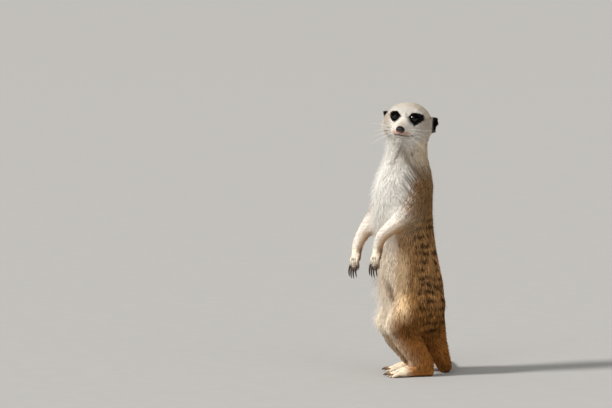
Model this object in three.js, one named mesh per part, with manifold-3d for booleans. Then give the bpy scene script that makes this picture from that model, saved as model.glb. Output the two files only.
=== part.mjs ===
// A meerkat on guard: upright on its hind feet, fore paws hanging, head turned to its left, and its
// tail as a prop behind. Life size, in millimetres. +Z is up, the toes point along -Y, and the
// animal's left side is +X. The outer faces stand for the tips of its coat.
//
// Every length of the body is a Flesh: elliptical sections along a smooth curve. A part's surface is
// found along rays from that curve, where the lengths that meet flow into each other, so that the
// body is one shape, parted by thin cuts.
import * as THREE from "three";
import Module from "manifold-3d";

const wasm = await Module();
wasm.setup();

// ---- Driving dimensions ----
const GAP = 0.3; // width of the cut between two parts
const FLOOR_DEPTH = 30; // of the block that flattens the soles
const SIDES = { left: 1, right: -1 };

const SEAM = 0.8; // how far a limb's root stands off the trunk, so that it has no feather edge
const HIPS_TURN = -14; // degrees to its left, of each part of the body
const CHEST_TURN = 10;
const NECK_CUT = 220; // heights of the cuts across the trunk
const CHEST_CUT = 146;

const HEAD_AT = [2, -5.5, 265]; // midway between the ears
const HEAD_TURN = 53; // degrees to its left
const HEAD_UP = 1; // degrees, nose raised
const HEAD_TILT = 7; // degrees, left ear lowered

const EYE = { left: 8.9, front: 18.8, up: 5, radius: 4.9, shown: 1.9, turn: 24, rise: 8 };
const EAR = { left: 24.8, front: -7.5, up: 0.2, height: 8.6, depth: 6.2, thick: 3.6 };
const NOSE = { front: 38.2, up: -7.2, wide: 4.5, deep: 2.9, tall: 3.2 };

const KNEE = { out: 24, front: 22, up: 55.5, cut: 46 };
const ANKLE = { out: 25.5, front: -8, up: 14 };
const FOOT_BACK = { left: 0, right: 9 }; // how far each foot is set back
const FOOT_TURN = 4; // degrees outwards
const HIND_TOE = { length: 11, radius: 2.9, claw: 5.5, clawRadius: 1.2 };
const FORE_TOE = { length: 9.5, radius: 2.5, claw: 11, clawRadius: 1.2 };
const TOES = 4;

const COAT = { tan: 0xb08a5c, pale: 0xe0d5c4, dark: 0x2a221d };

// ---- Small helpers ----
const vec = (x, y, z) => new THREE.Vector3(x, y, z);
const mix = THREE.MathUtils.lerp;
const radians = THREE.MathUtils.degToRad;

// Minimum of two distances, rounded where they are within `blend` of each other.
function blended(a, b, blend) {
  const overlap = Math.max(blend - Math.abs(a - b), 0) / blend;
  return Math.min(a, b) - (overlap * overlap * blend) / 4;
}

// A place given as left, front and up, in a frame turned about its own vertical.
function turnedFrame(x, y, turn) {
  const a = radians(turn);
  return (left, front, up) =>
    vec(
      x + left * Math.cos(a) + front * Math.sin(a),
      y + left * Math.sin(a) - front * Math.cos(a),
      up,
    );
}

// ---- Flesh: elliptical sections along a smooth curve ----
class Flesh {
  // stations: { at, wide, deep, turn }, half sizes, with wide lying along `across`, which is itself
  // turned about the vertical by `turn` degrees. cap is the length of each rounded end, as a share
  // of that end's smaller half size.
  constructor(stations, { across = vec(1, 0, 0), steps = 5, cap = 0.8 } = {}) {
    this.cap = cap;
    const curve = new THREE.CatmullRomCurve3(stations.map((s) => s.at));
    const sizes = new THREE.CatmullRomCurve3(
      stations.map((s) => vec(s.wide, s.deep, s.turn ?? 0)),
      false,
      "catmullrom",
      0.5,
    );
    this.sectionAt = (t) => {
      const [at, size] = [curve.getPoint(t), sizes.getPoint(t)];
      const along = curve.getTangent(t);
      const side = across.clone().applyAxisAngle(vec(0, 0, 1), radians(size.z));
      side.addScaledVector(along, -side.dot(along)).normalize();
      const back = along.clone().cross(side);
      return { at, along, side, back, wide: size.x, deep: size.y };
    };
    this.count = (stations.length - 1) * steps;
    this.sections = [];
    for (let i = 0; i <= this.count; i++) this.sections.push(this.sectionAt(i / this.count));
  }

  // How far a point is outside the flesh, measured towards its curve; negative inside.
  distance(p) {
    let least = Infinity;
    const last = this.sections.length - 2;
    for (let i = 0; i <= last; i++) {
      const [a, b] = [this.sections[i], this.sections[i + 1]];
      const [sx, sy, sz] = [b.at.x - a.at.x, b.at.y - a.at.y, b.at.z - a.at.z];
      const [px, py, pz] = [p.x - a.at.x, p.y - a.at.y, p.z - a.at.z];
      const t = Math.min(1, Math.max(0, (px * sx + py * sy + pz * sz) / (sx * sx + sy * sy + sz * sz)));
      const [rx, ry, rz] = [px - sx * t, py - sy * t, pz - sz * t];
      const near = t < 0.5 ? a : b;
      const [wide, deep] = [mix(a.wide, b.wide, t), mix(a.deep, b.deep, t)];
      const u = (rx * near.side.x + ry * near.side.y + rz * near.side.z) / wide;
      const v = (rx * near.back.x + ry * near.back.y + rz * near.back.z) / deep;
      const w =
        (rx * near.along.x + ry * near.along.y + rz * near.along.z) / (this.cap * Math.min(wide, deep));
      const q = Math.sqrt(u * u + v * v + w * w);
      const r = Math.sqrt(rx * rx + ry * ry + rz * rz);
      const d = q > 1e-6 ? r - r / q : -Math.min(wide, deep);
      if (d < least) least = d;
    }
    return least;
  }
}

// An ellipsoid with its half sizes along x, y and z, as a distance.
function ellipsoid(at, half) {
  return (p) => {
    const r = p.clone().sub(at);
    const q = r.clone().divide(half).length();
    return q > 1e-6 ? r.length() * (1 - 1 / q) : -Math.min(half.x, half.y, half.z);
  };
}

// ---- From a surface to a closed mesh ----
// How far the surface is from `from` along `ray`: the first place where skin passes `grow`, or `reach`.
function surfaceAlong(from, ray, skin, grow, reach) {
  const at = (r) => skin(vec(0, 0, 0).copy(ray).multiplyScalar(r).add(from)) - grow;
  const stride = Math.max(0.4, reach / 24);
  let inside = 0;
  while (at(inside + stride) < 0) {
    inside += stride;
    if (inside + stride >= reach) return reach;
  }
  let outside = inside + stride;
  for (let i = 0; i < 12; i++) {
    const middle = (inside + outside) / 2;
    if (at(middle) < 0) inside = middle;
    else outside = middle;
  }
  return inside;
}

// The solid around a flesh's curve, bounded by skin, with rounded ends. spread is how far past the
// flesh's own section a ray may go, as a share of the section. place moves it into the body's frame.
function solidAlong(flesh, { rings, sides, skin, grow = 0, spread = 1.45, capRings = 3, place }) {
  skin ??= (p) => flesh.distance(p);
  const capOf = (end, sign) => {
    const ray = end.along.clone().multiplyScalar(sign);
    const reach = spread * flesh.cap * Math.min(end.wide, end.deep) + grow;
    const pole = surfaceAlong(end.at, ray, skin, grow, reach);
    const ringsOut = [...Array(capRings).keys()].map((i) => {
      const angle = ((i + 1) / (capRings + 1)) * (Math.PI / 2);
      const at = end.at.clone().addScaledVector(ray, pole * Math.sin(angle));
      return { ...end, at, share: Math.cos(angle) };
    });
    return { ringsOut, point: end.at.clone().addScaledVector(ray, pole) };
  };
  const low = capOf(flesh.sectionAt(0), -1);
  const high = capOf(flesh.sectionAt(1), 1);
  const sections = low.ringsOut.reverse();
  for (let i = 0; i <= rings; i++) sections.push({ ...flesh.sectionAt(i / rings), share: 1 });
  sections.push(...high.ringsOut);

  const points = [low.point];
  for (const s of sections) {
    for (let j = 0; j < sides; j++) {
      const angle = (j / sides) * 2 * Math.PI;
      const ray = s.side.clone().multiplyScalar(Math.cos(angle));
      ray.addScaledVector(s.back, Math.sin(angle));
      const own = s.share / Math.hypot(Math.cos(angle) / s.wide, Math.sin(angle) / s.deep);
      const r = surfaceAlong(s.at, ray, skin, grow, spread * own + grow);
      points.push(s.at.clone().addScaledVector(ray, Math.max(r, 0.05)));
    }
  }
  points.push(high.point);
  if (place) points.forEach((p) => p.applyMatrix4(place));
  return solidFrom(points, ringFaces(sections.length, sides));
}

// Faces of stacked rings with a pole at each end, wound to face out.
function ringFaces(rings, sides) {
  const faces = [];
  const at = (ring, j) => 1 + ring * sides + (j % sides);
  const top = 1 + rings * sides;
  for (let j = 0; j < sides; j++) {
    faces.push(0, at(0, j + 1), at(0, j));
    for (let i = 0; i < rings - 1; i++) {
      faces.push(at(i, j), at(i, j + 1), at(i + 1, j));
      faces.push(at(i, j + 1), at(i + 1, j + 1), at(i + 1, j));
    }
    faces.push(at(rings - 1, j), at(rings - 1, j + 1), top);
  }
  return faces;
}

function solidFrom(points, faces) {
  const vertProperties = new Float32Array(points.flatMap((p) => [p.x, p.y, p.z]));
  const triVerts = new Uint32Array(faces);
  return new wasm.Manifold(new wasm.Mesh({ numProp: 3, vertProperties, triVerts }));
}

// A three.js geometry, placed by a matrix, as a solid.
function solidOf(geometry, matrix = new THREE.Matrix4()) {
  const placed = geometry.clone().applyMatrix4(matrix);
  const position = placed.getAttribute("position");
  const index = placed.index ? [...placed.index.array] : [...Array(position.count).keys()];
  const [seen, points] = [new Map(), []];
  const same = [...Array(position.count).keys()].map((i) => {
    const p = new THREE.Vector3().fromBufferAttribute(position, i);
    const key = [p.x, p.y, p.z].map((c) => Math.round(c * 1e4)).join();
    if (!seen.has(key)) seen.set(key, points.push(p) - 1);
    return seen.get(key);
  });
  const faces = [];
  for (let i = 0; i < index.length; i += 3) {
    const [a, b, c] = [same[index[i]], same[index[i + 1]], same[index[i + 2]]];
    if (a !== b && b !== c && c !== a) faces.push(a, b, c);
  }
  return solidFrom(points, faces);
}

const boxAt = (x, y, z, wide, deep, tall) =>
  solidOf(new THREE.BoxGeometry(wide, deep, tall), new THREE.Matrix4().makeTranslation(x, y, z));

// The largest body of a solid, without the crumbs that a cut can leave.
function largest(solid) {
  const bodies = solid.decompose();
  return bodies.reduce((a, b) => (a.volume() > b.volume() ? a : b));
}

const without = (solid, ...others) => largest(others.reduce((s, o) => s.subtract(o), solid));
const FLOOR = boxAt(0, 0, -FLOOR_DEPTH / 2, 600, 600, FLOOR_DEPTH);

// A solid parted by a cut of GAP across a flesh's curve at each share in cuts, first to last.
function parted(solid, flesh, cuts) {
  const pieces = [];
  let rest = solid;
  for (const t of cuts) {
    const { at, along, side } = flesh.sectionAt(t);
    const turn = new THREE.Matrix4().makeBasis(side, along.clone().cross(side), along);
    const beyond = (start) => {
      const block = new THREE.BoxGeometry(300, 300, 300).translate(0, 0, start + 150);
      return solidOf(block, turn.clone().setPosition(at));
    };
    pieces.push(largest(rest.subtract(beyond(-GAP / 2))));
    rest = rest.intersect(beyond(GAP / 2));
  }
  pieces.push(largest(rest));
  return pieces;
}

// ---- Trunk and neck ----
const trunk = new Flesh([
  { at: vec(2, 10, 41), wide: 18, deep: 18, turn: -14 },
  { at: vec(1.5, 7.5, 54), wide: 24, deep: 26.5, turn: -14 },
  { at: vec(1, 2.5, 70), wide: 27.5, deep: 32, turn: -14 },
  { at: vec(0.5, -1, 88), wide: 28.5, deep: 33.6, turn: -13 },
  { at: vec(0, -4, 106), wide: 28.5, deep: 32.8, turn: -9 },
  { at: vec(0, -6, 124), wide: 27.5, deep: 31.2, turn: -4 },
  { at: vec(0, -8, 143), wide: 26.5, deep: 30.8, turn: 1 },
  { at: vec(0, -10.4, 163), wide: 27, deep: 32, turn: 6 },
  { at: vec(0, -11, 181), wide: 27.5, deep: 32, turn: 10 },
  { at: vec(-0.2, -8.6, 197), wide: 27.5, deep: 31.2, turn: 14 },
  { at: vec(-0.6, -7, 211), wide: 24.4, deep: 26.8, turn: 19 },
  { at: vec(-1, -6.3, 225), wide: 20.5, deep: 22.2, turn: 26 },
  { at: vec(-1.2, -5.2, 240), wide: 19, deep: 20.8, turn: 34 },
  { at: vec(-1, -4, 254), wide: 18, deep: 19.5, turn: 42 },
]);
const trunkShare = (z) => {
  // The share of the trunk's curve at which it stands at height z.
  let [low, high] = [0, 1];
  for (let i = 0; i < 20; i++) {
    const middle = (low + high) / 2;
    if (trunk.sectionAt(middle).at.z < z) low = middle;
    else high = middle;
  }
  return low;
};

// ---- Head, in its own frame: x to its left, y to its back, z up ----
const headFrame = new THREE.Matrix4()
  .makeRotationFromEuler(
    new THREE.Euler(radians(-HEAD_UP), radians(HEAD_TILT), radians(HEAD_TURN), "ZXY"),
  )
  .setPosition(...HEAD_AT);
const toHead = headFrame.clone().invert();
const inHead = (left, front, up) => vec(left, -front, up);

const skull = new Flesh(
  [
    { at: inHead(0, -22, -1.5), wide: 14, deep: 13 },
    { at: inHead(0, -14, -0.2), wide: 21, deep: 18.6 },
    { at: inHead(0, -4, 0.6), wide: 25, deep: 21 },
    { at: inHead(0, 5, 0.6), wide: 24.8, deep: 20.8 },
    { at: inHead(0, 13, -0.8), wide: 20.8, deep: 17.6 },
    { at: inHead(0, 19, -3.2), wide: 15.8, deep: 13.8 },
    { at: inHead(0, 24.5, -5.6), wide: 11.2, deep: 10.6 },
    { at: inHead(0, 29.5, -7.2), wide: 8.6, deep: 8.4 },
    { at: inHead(0, 34, -7.8), wide: 7, deep: 6.8 },
    { at: inHead(0, 36.6, -7.8), wide: 5.6, deep: 5.4 },
  ],
  { cap: 0.7 },
);
const cheeks = Object.values(SIDES).map((side) =>
  ellipsoid(inHead(side * 17, 4, -9), vec(8.6, 13, 9.5)),
);
const brows = Object.values(SIDES).map((side) =>
  ellipsoid(inHead(side * 10.5, 15.5, 11.4), vec(6.2, 4.6, 3.2)),
);
const chin = ellipsoid(inHead(0, 28, -12.6), vec(6, 7, 3.8));
// The lips run back from the muzzle to the corners of the mouth.
const lips = Object.values(SIDES).map((side) =>
  ellipsoid(inHead(side * 7.2, 23.5, -10.2), vec(5.4, 8.5, 4.8)),
);
// Each eye sits in a shallow dish that leaves EYE.shown of it standing out.
const DISH = 9;
const dishes = Object.values(SIDES).map((side) => {
  const [turn, rise] = [radians(side * EYE.turn), radians(EYE.rise)];
  const out = inHead(Math.sin(turn) * Math.cos(rise), Math.cos(turn) * Math.cos(rise), Math.sin(rise));
  const at = inHead(side * EYE.left, EYE.front, EYE.up);
  at.addScaledVector(out, EYE.radius - EYE.shown + DISH);
  return ellipsoid(at, vec(DISH, DISH, DISH));
});
const headSkin = (p) => {
  let d = skull.distance(p);
  for (const cheek of cheeks) d = blended(d, cheek(p), 7);
  for (const brow of brows) d = blended(d, brow(p), 4);
  d = blended(d, chin(p), 3);
  for (const lip of lips) d = blended(d, lip(p), 3);
  for (const dish of dishes) d = -blended(-d, dish(p), 3);
  return d;
};
const headSolid = (grow) =>
  solidAlong(skull, { rings: 16, sides: 20, skin: headSkin, grow, capRings: 2, place: headFrame });
const headWorld = (p) => headSkin(p.clone().applyMatrix4(toHead));
const headGrown = headSolid(GAP);

// A ball or ellipsoid in the head's frame, turned about its own vertical and then leaned back.
function headBall(at, half, { turn = 0, lean = 0, segments = 10, grow = 0 } = {}) {
  const placed = new THREE.Matrix4().compose(
    at,
    new THREE.Quaternion().setFromEuler(new THREE.Euler(radians(lean), 0, radians(turn), "ZXY")),
    half.clone().addScalar(grow),
  );
  return solidOf(
    new THREE.SphereGeometry(1, segments, segments / 2),
    headFrame.clone().multiply(placed),
  );
}

const eyeOf = (side, grow) =>
  headBall(
    inHead(side * EYE.left, EYE.front, EYE.up),
    vec(EYE.radius, EYE.radius, EYE.radius),
    { segments: 10, grow },
  );

function earOf(side) {
  const at = inHead(side * EAR.left, EAR.front, EAR.up);
  const shape = { turn: side * 24, lean: 8 };
  const outer = headBall(at, vec(EAR.thick, EAR.depth, EAR.height), shape);
  const hollow = headBall(
    inHead(side * (EAR.left + 2.4), EAR.front + 2, EAR.up - 0.6),
    vec(EAR.thick * 0.72, EAR.depth * 0.7, EAR.height * 0.72),
    { ...shape, segments: 8 },
  );
  return without(outer, hollow, headGrown);
}

const noseAt = inHead(0, NOSE.front, NOSE.up);
const noseOf = (grow) =>
  headBall(noseAt, vec(NOSE.wide, NOSE.deep, NOSE.tall), { segments: 10, grow });

// ---- Toes and claws ----
// One toe from `root`, pointing along `ahead` with its knuckle raised towards `over`, and its claw.
function toeOf(root, ahead, over, size) {
  const place = (along, up) =>
    root.clone().addScaledVector(ahead, along).addScaledVector(over, up);
  const across = ahead.clone().cross(over).normalize();
  const [long, r] = [size.length, size.radius];
  const toe = new Flesh(
    [
      { at: place(-0.35 * long, 0), wide: r * 0.95, deep: r * 0.95 },
      { at: place(0.3 * long, 0.32 * r), wide: r, deep: r },
      { at: place(0.85 * long, -0.35 * r), wide: r * 0.86, deep: r * 0.84 },
    ],
    { across, steps: 3 },
  );
  const claw = new Flesh(
    [
      { at: place(0.85 * long, -0.1 * r), wide: size.clawRadius, deep: size.clawRadius * 1.15 },
      { at: place(long + 0.45 * size.claw, 0), wide: size.clawRadius * 0.75, deep: size.clawRadius },
      {
        at: place(long + 0.95 * size.claw, -0.2 * size.claw),
        wide: size.clawRadius * 0.3,
        deep: size.clawRadius * 0.34,
      },
    ],
    { across, steps: 3 },
  );
  const toeSolid = (grow) => solidAlong(toe, { rings: 2, sides: 6, grow, capRings: 1 });
  const clawSolid = solidAlong(claw, { rings: 2, sides: 5, capRings: 0 });
  return { toe: toeSolid(0), grown: toeSolid(GAP), claw: clawSolid };
}

// TOES toes side by side from the middle of a paw's front edge, the middle two a little ahead.
function toesOf(middle, ahead, over, width, size, fan) {
  const across = ahead.clone().cross(over).normalize();
  return [...Array(TOES).keys()].map((i) => {
    const share = (i - (TOES - 1) / 2) / ((TOES - 1) / 2);
    const root = middle.clone().addScaledVector(across, (share * width) / 2);
    root.addScaledVector(ahead, -1.8 * share * share);
    const spread = ahead.clone().applyAxisAngle(over, radians(-share * fan));
    return toeOf(root, spread, over, size);
  });
}

// A paw and its claws, from the solid that the toes grow from.
function pawOf(base, grownBase, toes, cutters) {
  const paw = without(
    toes.reduce((s, t) => s.add(t.toe), base),
    ...cutters,
  );
  const grown = toes.reduce((s, t) => s.add(t.grown), grownBase);
  return { paw, claws: toes.map((t) => without(t.claw, grown, FLOOR)) };
}

// ---- Fore legs: shoulder, elbow, wrist and the roots of the toes, a little apart in height ----
const ARMS = {
  left: [
    { at: vec(16, -2, 201), wide: 9.5, deep: 15 },
    { at: vec(23, -7, 186), wide: 9.4, deep: 13.5 },
    { at: vec(28.5, -15.5, 173), wide: 9.4, deep: 11.5 },
    { at: vec(30.5, -25.5, 164.5), wide: 8.8, deep: 9.4 },
    { at: vec(30, -37.5, 157.5), wide: 8, deep: 8.4 },
    { at: vec(29, -47.5, 149.5), wide: 7, deep: 7.2 },
    { at: vec(27.8, -52, 141), wide: 6.2, deep: 6 },
    { at: vec(27, -53, 131.5), wide: 6, deep: 5.2 },
    { at: vec(26.6, -53.8, 126), wide: 6.7, deep: 4.8 },
  ],
  right: [
    { at: vec(-17.6, -7, 201), wide: 9.5, deep: 15 },
    { at: vec(-22.5, -14, 186), wide: 9.4, deep: 13.5 },
    { at: vec(-24, -24, 173), wide: 9.4, deep: 11.5 },
    { at: vec(-22.5, -33.5, 164), wide: 8.8, deep: 9.4 },
    { at: vec(-19.5, -42.5, 155), wide: 8, deep: 8.3 },
    { at: vec(-16, -51, 145.5), wide: 7.1, deep: 7.2 },
    { at: vec(-13.5, -56.5, 137), wide: 6.3, deep: 6.2 },
    { at: vec(-12.3, -58.5, 128.5), wide: 6, deep: 5.2 },
    { at: vec(-11.8, -59.5, 122.5), wide: 6.7, deep: 4.8 },
  ],
};
const chestAxes = {
  left: turnedFrame(0, 0, CHEST_TURN)(1, 0, 0),
  front: turnedFrame(0, 0, CHEST_TURN)(0, 1, 0),
};

function foreLegOf(name) {
  const stations = ARMS[name];
  const arm = new Flesh(stations, { across: chestAxes.left });
  const skin = (p) => blended(arm.distance(p), trunk.distance(p), 9);
  const shape = (grow) => solidAlong(arm, { rings: 14, sides: 9, skin, grow, capRings: 1 });
  const [elbow, wrist] = [0.4, 0.78];
  const [upper, fore, palm] = parted(shape(0), arm, [elbow, wrist]);

  const end = stations.at(-1).at;
  const ahead = vec(0, 0, -1).addScaledVector(chestAxes.front, 0.24).normalize();
  const over = chestAxes.front.clone().addScaledVector(ahead, -chestAxes.front.dot(ahead)).normalize();
  const knuckles = end.clone().addScaledVector(over, 0.6).addScaledVector(ahead, 1);
  const toes = toesOf(knuckles, ahead, over, 9.6, FORE_TOE, 5);
  const { paw, claws } = pawOf(palm, shape(GAP), toes, []);
  return { upper: without(upper, trunkNear), fore: without(fore, trunkNear), paw, claws };
}

// ---- Hind legs ----
const hips = turnedFrame(0, 0, HIPS_TURN);

function hindLegOf(name, side) {
  const ankle = hips(side * ANKLE.out, ANKLE.front - FOOT_BACK[name], 0);
  const foot = turnedFrame(ankle.x, ankle.y, HIPS_TURN + side * FOOT_TURN);
  const across = hips(1, 0, 0);
  const thigh = new Flesh(
    [
      { at: hips(side * 14, -12, 81), wide: 15, deep: 19 },
      { at: hips(side * 19, -5, 73), wide: 17, deep: 25 },
      { at: hips(side * 23, 5, 65.5), wide: 15.5, deep: 23 },
      { at: hips(side * (KNEE.out + 1), 14.5, 59.5), wide: 12.8, deep: 17.5 },
      { at: hips(side * KNEE.out, KNEE.front, KNEE.up), wide: 10, deep: 12 },
    ],
    { across, cap: 0.9 },
  );
  const shin = new Flesh(
    [
      { at: hips(side * KNEE.out, KNEE.front - 1, KNEE.up - 3), wide: 10, deep: 11 },
      { at: hips(side * (KNEE.out + 0.5), 12.5, 40), wide: 11.5, deep: 14 },
      { at: hips(side * (KNEE.out + 1), 2, 27), wide: 10.5, deep: 13.5 },
      { at: ankle.clone().setZ(ANKLE.up), wide: 8, deep: 10.5 },
    ],
    { across, cap: 0.9 },
  );
  const sole = new Flesh(
    [
      { at: foot(0, -6, 6.6), wide: 6.6, deep: 7.4 },
      { at: foot(0, 5, 6.8), wide: 6.9, deep: 7.6 },
      { at: foot(0, 16, 5.8), wide: 7.5, deep: 6.6 },
      { at: foot(0, 24, 4.6), wide: 8.6, deep: 5.4 },
      { at: foot(0, 28, 4), wide: 9, deep: 4.6 },
    ],
    { across: foot(1, 0, 0).sub(foot(0, 0, 0)), cap: 0.7 },
  );
  const legSkin = (p) => blended(thigh.distance(p), shin.distance(p), 9);
  const thighSkin = (p) => blended(legSkin(p), trunk.distance(p), 12);
  const shinSkin = (p) => blended(legSkin(p), sole.distance(p), 7);
  const thighShape = (grow) =>
    solidAlong(thigh, { rings: 6, sides: 12, skin: thighSkin, grow, spread: 1.3, capRings: 2 });
  const shinShape = (grow) =>
    solidAlong(shin, { rings: 6, sides: 10, skin: shinSkin, grow, spread: 1.3, capRings: 1 });
  const soleShape = (grow) => solidAlong(sole, { rings: 6, sides: 9, grow, capRings: 1 });

  const ahead = foot(0, 1, 0).sub(foot(0, 0, 0));
  const toes = toesOf(foot(0, 27.5, 3.2), ahead, vec(0, 0, 1), 13.4, HIND_TOE, 7);
  const { paw, claws } = pawOf(soleShape(0), soleShape(GAP), toes, [FLOOR]);
  const leg = without(thighShape(0).add(shinShape(0)), trunkNear, soleShape(GAP), FLOOR);
  const under = (z) => boxAt(0, 0, z - 150, 400, 400, 300);
  return {
    thigh: without(leg, under(KNEE.cut + GAP / 2)),
    shin: largest(leg.intersect(under(KNEE.cut - GAP / 2))),
    paw,
    claws,
    grown: [thighShape(SEAM), shinShape(SEAM), soleShape(SEAM)],
  };
}

// ---- Tail: down behind the heels, then along the floor and round to the right ----
const TAIL_LIES = turnedFrame(0, 0, -66); // the way it lies on the floor, its front being the tip
const tail = new Flesh(
  [
    { at: vec(1.5, 12, 62), wide: 15, deep: 15 },
    { at: vec(3.5, 19, 47), wide: 14, deep: 14.5 },
    { at: vec(5.6, 25, 31), wide: 11.6, deep: 12 },
    { at: vec(6.6, 30, 17), wide: 9.4, deep: 9.6 },
    { at: vec(2.5, 36, 8.2), wide: 7.8, deep: 7.9 },
    { at: vec(-9, 42.5, 6.5), wide: 7.2, deep: 7.1 },
    { at: vec(-27, 50.5, 6.1), wide: 6.7, deep: 6.6 },
    { at: vec(-47, 59.5, 5.7), wide: 6.2, deep: 6.2 },
    { at: vec(-67, 68.5, 5.2), wide: 5.7, deep: 5.7 },
    { at: vec(-86, 77, 4.7), wide: 5.1, deep: 5.1 },
    { at: vec(-102, 84, 4), wide: 4.2, deep: 4.2 },
    { at: vec(-112, 88, 2.9), wide: 2.6, deep: 2.7 },
  ],
  { across: TAIL_LIES(1, 0, 0) },
);

// ---- Carving the parts from each other ----
const trunkSkin = (p) => blended(trunk.distance(p), headWorld(p), 8);
const trunkShape = (grow) =>
  solidAlong(trunk, { rings: 17, sides: 20, skin: trunkSkin, grow, spread: 1.3, capRings: 2 });
const trunkNear = trunkShape(SEAM);
const [belly, ribs, top] = parted(trunkShape(0), trunk, [
  trunkShare(CHEST_CUT),
  trunkShare(NECK_CUT),
]);
const neck = without(top, headGrown);

const parts = [];
const add = (name, solid, look) => parts.push({ name, solid, look });

add("belly", belly, "tan");
add("chest", ribs, "pale");
add("neck", neck, "pale");
const eyes = Object.entries(SIDES).map(([name, side]) => [name, eyeOf(side, 0), eyeOf(side, GAP)]);
add("head", without(headSolid(0), ...eyes.map((e) => e[2]), noseOf(GAP)), "pale");
add("nose", noseOf(0), "dark");
for (const [name, ball] of eyes) add(`eye_${name}`, ball, "dark");
const hindParts = [];
for (const [name, side] of Object.entries(SIDES)) {
  add(`ear_${name}`, earOf(side), "dark");
  const fore = foreLegOf(name);
  add(`upper_arm_${name}`, fore.upper, "tan");
  add(`forearm_${name}`, fore.fore, "pale");
  add(`fore_paw_${name}`, fore.paw, "pale");
  fore.claws.forEach((claw, i) => add(`fore_claw_${name}_${i + 1}`, claw, "dark"));
  const hind = hindLegOf(name, side);
  hindParts.push(...hind.grown);
  add(`thigh_${name}`, hind.thigh, "tan");
  add(`shin_${name}`, hind.shin, "tan");
  add(`hind_paw_${name}`, hind.paw, "pale");
  hind.claws.forEach((claw, i) => add(`hind_claw_${name}_${i + 1}`, claw, "dark"));
}
const tailSkin = (p) => blended(tail.distance(p), trunk.distance(p), 10);
const tailShape = solidAlong(tail, { rings: 20, sides: 9, skin: tailSkin, capRings: 1 });
const tailParts = parted(without(tailShape, trunkNear, FLOOR, ...hindParts), tail, [0.46, 0.74]);
["tail_root", "tail_middle", "tail_tip"].forEach((name, i) => add(name, tailParts[i], "tan"));

// ---- The scene graph ----
const lookOf = (look) =>
  new THREE.MeshStandardMaterial({
    color: COAT[look],
    roughness: look === "dark" ? 0.35 : 0.9,
    metalness: 0,
  });

function meshOf({ name, solid, look }) {
  const { vertProperties, triVerts } = solid.getMesh();
  const geometry = new THREE.BufferGeometry()
    .setAttribute("position", new THREE.BufferAttribute(new Float32Array(vertProperties), 3))
    .setIndex(new THREE.BufferAttribute(new Uint32Array(triVerts), 1));
  geometry.computeVertexNormals();
  const mesh = new THREE.Mesh(geometry, lookOf(look));
  mesh.name = name;
  return mesh;
}

const meerkat = new THREE.Group();
parts.forEach((part) => meerkat.add(meshOf(part)));

// The origin is at the middle of the model's footprint, on the floor.
const bounds = new THREE.Box3().setFromObject(meerkat);
meerkat.position.set(
  -(bounds.min.x + bounds.max.x) / 2,
  -(bounds.min.y + bounds.max.y) / 2,
  -bounds.min.z,
);

export default meerkat;
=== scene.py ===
"""A life-size meerkat upright on its hind feet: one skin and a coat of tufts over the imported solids."""
import math

import bmesh
import bpy
import numpy as np
from mathutils import Matrix, Vector
from mathutils.bvhtree import BVHTree


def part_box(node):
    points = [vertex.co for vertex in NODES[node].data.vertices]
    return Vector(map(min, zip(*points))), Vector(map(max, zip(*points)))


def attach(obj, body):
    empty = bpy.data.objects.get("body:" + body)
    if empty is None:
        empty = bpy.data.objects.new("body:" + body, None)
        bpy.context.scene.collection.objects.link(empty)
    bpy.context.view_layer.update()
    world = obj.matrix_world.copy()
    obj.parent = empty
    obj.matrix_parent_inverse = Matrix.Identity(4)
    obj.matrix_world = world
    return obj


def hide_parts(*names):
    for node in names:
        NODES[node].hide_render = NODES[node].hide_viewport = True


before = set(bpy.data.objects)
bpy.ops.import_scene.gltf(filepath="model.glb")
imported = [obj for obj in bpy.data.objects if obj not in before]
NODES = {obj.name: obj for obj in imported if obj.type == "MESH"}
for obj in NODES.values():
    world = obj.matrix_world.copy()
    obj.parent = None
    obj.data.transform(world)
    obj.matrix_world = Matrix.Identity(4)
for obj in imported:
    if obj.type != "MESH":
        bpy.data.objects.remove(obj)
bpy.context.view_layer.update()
MM = 0.001
SIDES = {"left": 1, "right": -1}

# ------------ numbers


def sizes_of(vectors):
    return np.linalg.norm(vectors, axis=-1)


def unit(vectors):
    vectors = np.asarray(vectors, float)
    return vectors / np.maximum(np.linalg.norm(vectors, axis=-1, keepdims=True), 1e-9)


def dot(first, second):
    """The dot product of each row with a row or with one vector."""
    return np.sum(first * second, axis=-1)


def ramp(low, high, value):
    """0 below low, 1 above high and a smooth rise between them."""
    share = np.clip((value - low) / (high - low), 0, 1)
    return share * share * (3 - 2 * share)


def fall(low, high, value):
    """1 below low and 0 above high."""
    return 1 - ramp(low, high, value)


def bell(value, width):
    """1 at 0, falling off on both sides over about the width."""
    return np.exp(-((value / width) ** 2))


def mix(first, second, share):
    """The first at share 0 and the second at share 1."""
    return first + (second - first) * share


def column(values):
    return np.asarray(values)[:, None]


def noise(points, size, seed):
    """Smooth noise from -1 to 1, with lumps about size across."""
    grid = points / size + seed * 17.31
    cell = np.floor(grid).astype(np.int64)
    part = grid - cell
    part = part * part * (3 - 2 * part)
    total = np.zeros(len(points))
    for corner in range(8):
        step = np.array([corner & 1, corner >> 1 & 1, corner >> 2 & 1])
        key = (cell + step) @ np.array([73856093, 19349663, 83492791])
        key = ((key ^ (key >> 13)) * 1274126177) & 0x7FFFFFFF
        weight = np.prod(np.where(step, part, 1 - part), axis=1)
        total += weight * (key / 0x3FFFFFFF - 1)
    return total


def colour(red, green, blue):
    """A display colour of 0 to 255 as linear light."""
    shade = np.array([red, green, blue]) / 255
    return np.where(shade <= 0.04045, shade / 12.92, ((shade + 0.055) / 1.055) ** 2.4)


# ------------ Blender's data


def rows_of(items, field, kind=float):
    """The three numbers of a field, for each item."""
    found = np.empty(len(items) * 3, kind)
    items.foreach_get(field, found)
    return found.reshape(-1, 3)


def coordinates(mesh):
    """A mesh's vertices in millimetres."""
    return rows_of(mesh.vertices, "co") / MM


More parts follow.
